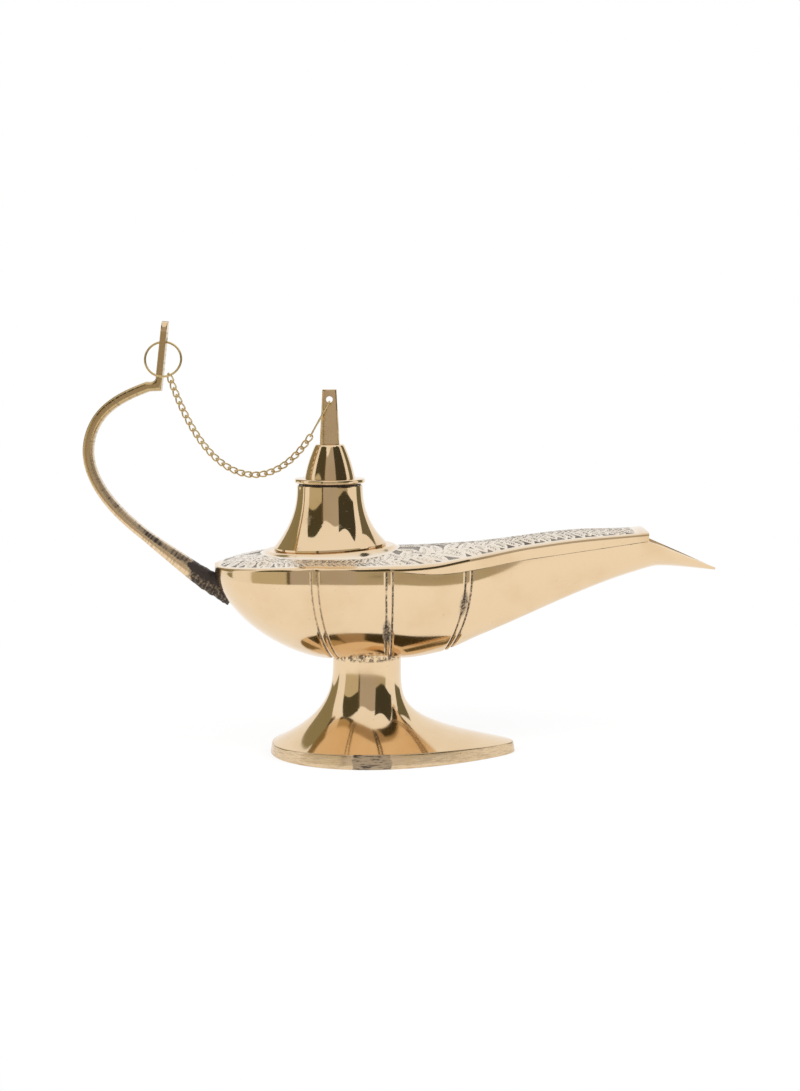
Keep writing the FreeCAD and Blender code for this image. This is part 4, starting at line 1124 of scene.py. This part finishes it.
strap = spline([(x - BOWL_REAR_REACH, z + bowl_rear_height) for x, z in HANDLE_LINE], HANDLE_STEPS)
ways = np.gradient(strap, axis=0)
ways /= np.linalg.norm(ways, axis=1)[:, None]
root_share = np.clip(1 - run_along(strap) / HANDLE_ROOT_LENGTH, 0, 1)
half = mix(HANDLE_THICKNESS, HANDLE_ROOT_THICKNESS, root_share) / 2
offsets = left_of(ways) * half[:, None]
outer_edge = strap + offsets
inner_edge = strap - offsets
finial_foot = strap[-1] + np.array(FINIAL_SET)
finial_top = finial_foot + np.array([FINIAL_LEAN, FINIAL_HEIGHT])
rise = (finial_top - finial_foot) / np.linalg.norm(finial_top - finial_foot)
across = np.array([rise[1], -rise[0]])
right_side, left_side = [], []
for t in np.linspace(0, 1, FINIAL_STEPS):
    thick = mix(FINIAL_FOOT_THICKNESS, FINIAL_TOP_THICKNESS, t)
    middle = mix(finial_foot, finial_top, t)
    right_side.append(middle + across * thick / 2)
    left_side.append(middle - across * thick / 2)

# The elbow takes the strap's outer edge round into the finial's back, and its inner edge to its foot.
ELBOW_BACK = 6
ELBOW_KNEE = 5
ELBOW_END = 9
ELBOW_STEPS = 10
elbow_from, elbow_knee, elbow_to = outer_edge[-ELBOW_BACK], left_side[ELBOW_KNEE], left_side[ELBOW_END]
corner_from, corner_to = inner_edge[-ELBOW_BACK], right_side[0]
elbow, corner = [], []
for t in np.linspace(0, 1, ELBOW_STEPS):
    elbow.append((1 - t) ** 2 * elbow_from + 2 * t * (1 - t) * elbow_knee + t * t * elbow_to)
    corner.append(mix(corner_from, corner_to, t))
outer_line = np.concatenate([outer_edge[:-ELBOW_BACK], elbow, left_side[ELBOW_END + 1:]])
inner_line = np.concatenate([inner_edge[:-ELBOW_BACK], corner, right_side[ELBOW_END + 1:]])
handle_middles = (outer_line + inner_line) / 2
finial_from = len(outer_edge) - ELBOW_BACK + ELBOW_STEPS

STRAP_COLUMNS = 44
STRAP_SQUARENESS = 3.4
FINIAL_SQUARENESS = 7.0


def strap_loop(i):
    """The section of the strap or finial at a step of its line: four cushioned sides with soft corners."""
    width, squareness = HANDLE_HALF_WIDTH, STRAP_SQUARENESS
    if i >= finial_from:
        width, squareness = FINIAL_HALF_WIDTH, FINIAL_SQUARENESS
        over = handle_middles[i][1] - (finial_top[1] - FINIAL_HALF_WIDTH)
        if over > 0:
            width = math.sqrt(max(0.0, FINIAL_HALF_WIDTH ** 2 - over ** 2))
    loop = []
    for turn in round_turns(STRAP_COLUMNS):
        aside, outward = math.cos(turn), math.sin(turn)
        reach = (abs(aside) ** squareness + abs(outward) ** squareness) ** (-1 / squareness)
        x, z = handle_middles[i] + (outer_line[i] - inner_line[i]) / 2 * outward * reach
        loop.append((x, width * aside * reach, min(z, finial_top[1])))
    return loop


CRUST_LENGTH = 12.0
CRUST_LUMP = 0.55
CRUST_SPACING = 1.7


def crusted(point, middle):
    """The point pushed in or out from the strap's middle by the lumps of the braze crust near its root."""
    crust = float(smooth_share(point[0], -BOWL_REAR_REACH - CRUST_LENGTH, -BOWL_REAR_REACH))
    lump = CRUST_LUMP * crust * noise.noise(Vector(point) / CRUST_SPACING)
    away = Vector(point) - Vector(middle)
    return tuple(Vector(point) + away.normalized() * lump)


def strap_end(middle):
    """A loop drawn together into one point, which closes an end of the handle's mesh."""
    return [(middle[0], 0.0, min(middle[1], finial_top[1]))] * STRAP_COLUMNS


strap_rows = [strap_loop(i) for i in range(len(outer_line))]
strap_rows = [[crusted(point, np.mean(row, axis=0)) for point in row] for row in strap_rows]
handle_rows = [strap_end(handle_middles[0])] + strap_rows + [strap_end(handle_middles[-1])]

# A painted dark reflection darkens the inner half of the strap's flanks, thick at the root and gone by the
# bend.
PAINTED_REFLECTION_RUNS = [0, 14, 60, 95]
PAINTED_REFLECTION_LEVELS = [1.0, 1.0, 0.9, 0.0]
PAINTED_REFLECTION_FROM = (0.05, 0.30)
PAINTED_REFLECTION_TO = (0.86, 0.97)
# The finial's last stretch is painted bright as a highlight where light falls on its top.
FINIAL_HIGHLIGHT = 4.2
HANDLE_SHARP = 40.0
FINIAL_DRILL_DEPTH = 12.0
handle_runs = run_along([np.mean(row, axis=0) for row in handle_rows])
inward = -np.sin(round_turns(STRAP_COLUMNS))
reflecting_flank = smooth_share(inward, *PAINTED_REFLECTION_FROM) * (1 - smooth_share(inward, *PAINTED_REFLECTION_TO))
# How strong the painted reflection is at each point of the handle.
handle_smoke = np.interp(handle_runs, PAINTED_REFLECTION_RUNS, PAINTED_REFLECTION_LEVELS)[:, None] * reflecting_flank
highlight_from = float(handle_runs[-1]) - FINIAL_HIGHLIGHT
handle_brass = filed_brass("handle_brass", 0.16, 0.34, -BOWL_REAR_REACH - CRUST_LENGTH, highlight_from)
handle = piece(
    "handle_strap", handle_rows, handle_brass, HANDLE_SHARP,
    run=np.repeat(handle_runs, STRAP_COLUMNS), smoke=handle_smoke,
)
hole_x, hole_z = finial_top - rise * FINIAL_HOLE_FROM_TOP
drill(handle, (hole_x, 0, hole_z), FINIAL_HOLE_RADIUS, FINIAL_DRILL_DEPTH, math.atan2(across[0], across[1]))
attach(handle, "lamp")
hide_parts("handle")

# Ring, hook and chain: drawn brass wire, bent and closed by hand.
# They keep their exact solids, with the duller finish of wire that is never polished.
WIRE_BRASS = (0.74, 0.58, 0.30, 1.0)


def wire_brass():
    """Wire gone a little dull in patches."""
    made = surface("wire_brass")
    place = made[3]
    dull = cloud(place, 900.0, 3.0).step(0.40, 0.72)
    return polish(made, 0.22 * dull, brushed(place, (500.0, 500.0, 500.0)), 0.4, 0.18, WIRE_BRASS)


drawn_wire = wire_brass()
for name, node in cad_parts.items():
    if name.startswith("chain_link") or name in ("ring", "hook"):
        node.data.materials.clear()
        node.data.materials.append(drawn_wire)
        node.data.shade_smooth()

# Studio: a round white table in a white surround.
# Dim curtains hang round it that only the polished metal mirrors, and soft boxes light the table.
# The table keeps the lamp's faint shadow, and the camera stands at the photograph's eye.
TABLE_RADIUS = 0.34
TABLE_WHITE = 0.82
bpy.ops.mesh.primitive_circle_add(vertices=128, radius=TABLE_RADIUS, fill_type="NGON", location=(0, 0, 0))
floor = bpy.context.object
floor.name = "floor"
floor_paint, floor_shader, floor_blank, _ = surface("floor_paint")
floor_shader.inputs["Base Color"].default_value = (0.9, 0.9, 0.9, 1)
floor_shader.inputs["Roughness"].default_value = 0.9


def seen_rays(blank):
    """One for rays that the camera, a mirror or a glass sends out, and zero for light that is scattered."""
    camera, glossy, through = [blank.node("ShaderNodeLightPath", {}, {}, output) for output in (0, 3, 6)]
    return (camera + glossy + through).clamp()


white = floor_blank.node("ShaderNodeEmission", {}, {"Color": (1, 1, 1, 1), "Strength": 1.0})
painted = Field(floor_paint.node_tree, floor_shader.outputs[0])
mixing = {0: seen_rays(floor_blank) * TABLE_WHITE, 1: painted, 2: white}
mixed = floor_blank.node("ShaderNodeMixShader", {}, mixing)
floor_paint.node_tree.links.new(mixed.socket, floor_paint.node_tree.nodes["Material Output"].inputs[0])
floor.data.materials.append(floor_paint)

AMBIENT = 0.85
world = bpy.data.worlds.new("studio")
bpy.context.scene.world = world
world.use_nodes = True
backdrop = world.node_tree.nodes["Background"]
level = AMBIENT + (1.0 - AMBIENT) * seen_rays(Field(world.node_tree))
world.node_tree.links.new(level.socket, backdrop.inputs["Strength"])
backdrop.inputs["Color"].default_value = (1, 1, 1, 1)

CURTAIN_DISTANCE = 1.6
CURTAIN_STEPS = 48
CURTAIN_DROOP = 4.5
CURTAIN_FOLDS = 5.0
# Each curtain's sweep right of the camera's line and its rise from level, in degrees, and its colour.
CURTAINS = [
    ("front_curtain", (-22, 30), (-40, 44), (0.50, 0.455, 0.40)),
    ("left_post", (-27, -22), (-40, 47), (0.14, 0.115, 0.065)),
    ("left_curtain", (-74, -27), (17, 50), (0.085, 0.078, 0.045)),
    ("left_skirt", (-74, -27), (-40, 17), (0.60, 0.55, 0.40)),
    ("right_curtain", (30, 88), (6, 54), (0.065, 0.060, 0.038)),
    ("right_skirt", (30, 66), (-40, 6), (0.50, 0.455, 0.34)),
    ("far_right_curtain", (108, 138), (-4, 42), (0.17, 0.16, 0.10)),
    ("far_left_curtain", (-146, -104), (-4, 46), (0.30, 0.27, 0.16)),
]


def curtain(name, sweep, rise, colour):
    """A dim cloth hung on a round rail about the table, with a wavy hem and top."""
    points = []
    for angle in rise:
        for turn in np.radians(np.linspace(*sweep, CURTAIN_STEPS)):
            droop = CURTAIN_DROOP * math.sin(CURTAIN_FOLDS * turn)
            height = CURTAIN_DISTANCE * math.tan(math.radians(angle + droop))
            points.append((CURTAIN_DISTANCE * math.sin(turn), -CURTAIN_DISTANCE * math.cos(turn), height))
    mesh = bpy.data.meshes.new(name)
    rungs = range(CURTAIN_STEPS - 1)
    mesh.from_pydata(points, [], [(i, i + 1, i + 1 + CURTAIN_STEPS, i + CURTAIN_STEPS) for i in rungs])
    made = bpy.data.objects.new(name, mesh)
    bpy.context.scene.collection.objects.link(made)
    cloth, _, blank, _ = surface(name)
    glow = blank.node("ShaderNodeEmission", {}, {"Color": (*colour, 1), "Strength": 1.0})
    cloth.node_tree.links.new(glow.socket, cloth.node_tree.nodes["Material Output"].inputs[0])
    mesh.materials.append(cloth)
    made.visible_camera = False
    made.visible_diffuse = False
    made.visible_shadow = False
    made.visible_transmission = False


for hung in CURTAINS:
    curtain(*hung)

LIGHT_AIM = (0, 0, 0.08)


def soft_box(name, place, width, height, power):
    """A soft lamp that lights the table and the lamp but isn't mirrored in the metal."""
    light = bpy.data.lights.new(name, "AREA")
    light.shape = "RECTANGLE"
    light.size = width
    light.size_y = height
    light.energy = power
    box = bpy.data.objects.new(name, light)
    box.location = place
    box.rotation_euler = (Vector(LIGHT_AIM) - Vector(place)).to_track_quat("-Z", "Y").to_euler()
    box.visible_glossy = False
    bpy.context.scene.collection.objects.link(box)


soft_box("key_box", (-0.7, -0.7, 0.8), 0.6, 0.8, 9.0)
soft_box("fill_box", (0.8, -0.5, 0.6), 0.5, 0.8, 6.0)

CAMERA_AHEAD = 13.4
CAMERA_DISTANCE = 0.752
CAMERA_HEIGHT = 0.1675
CAMERA_PITCH = math.radians(6.3)
FOCAL_PIXELS = 1875.0
PHOTO_HEIGHT = 1091.0
SENSOR = 36.0
eye = bpy.data.cameras.new("eye")
eye.sensor_fit = "VERTICAL"
eye.sensor_height = SENSOR
eye.lens = FOCAL_PIXELS * SENSOR / PHOTO_HEIGHT
camera = bpy.data.objects.new("camera", eye)
camera.location = ((stem_x + CAMERA_AHEAD) * MM, -CAMERA_DISTANCE, CAMERA_HEIGHT)
camera.rotation_euler = (math.pi / 2 - CAMERA_PITCH, 0, 0)
bpy.context.scene.collection.objects.link(camera)
bpy.context.scene.camera = camera
bpy.context.scene.view_settings.view_transform = "Standard"
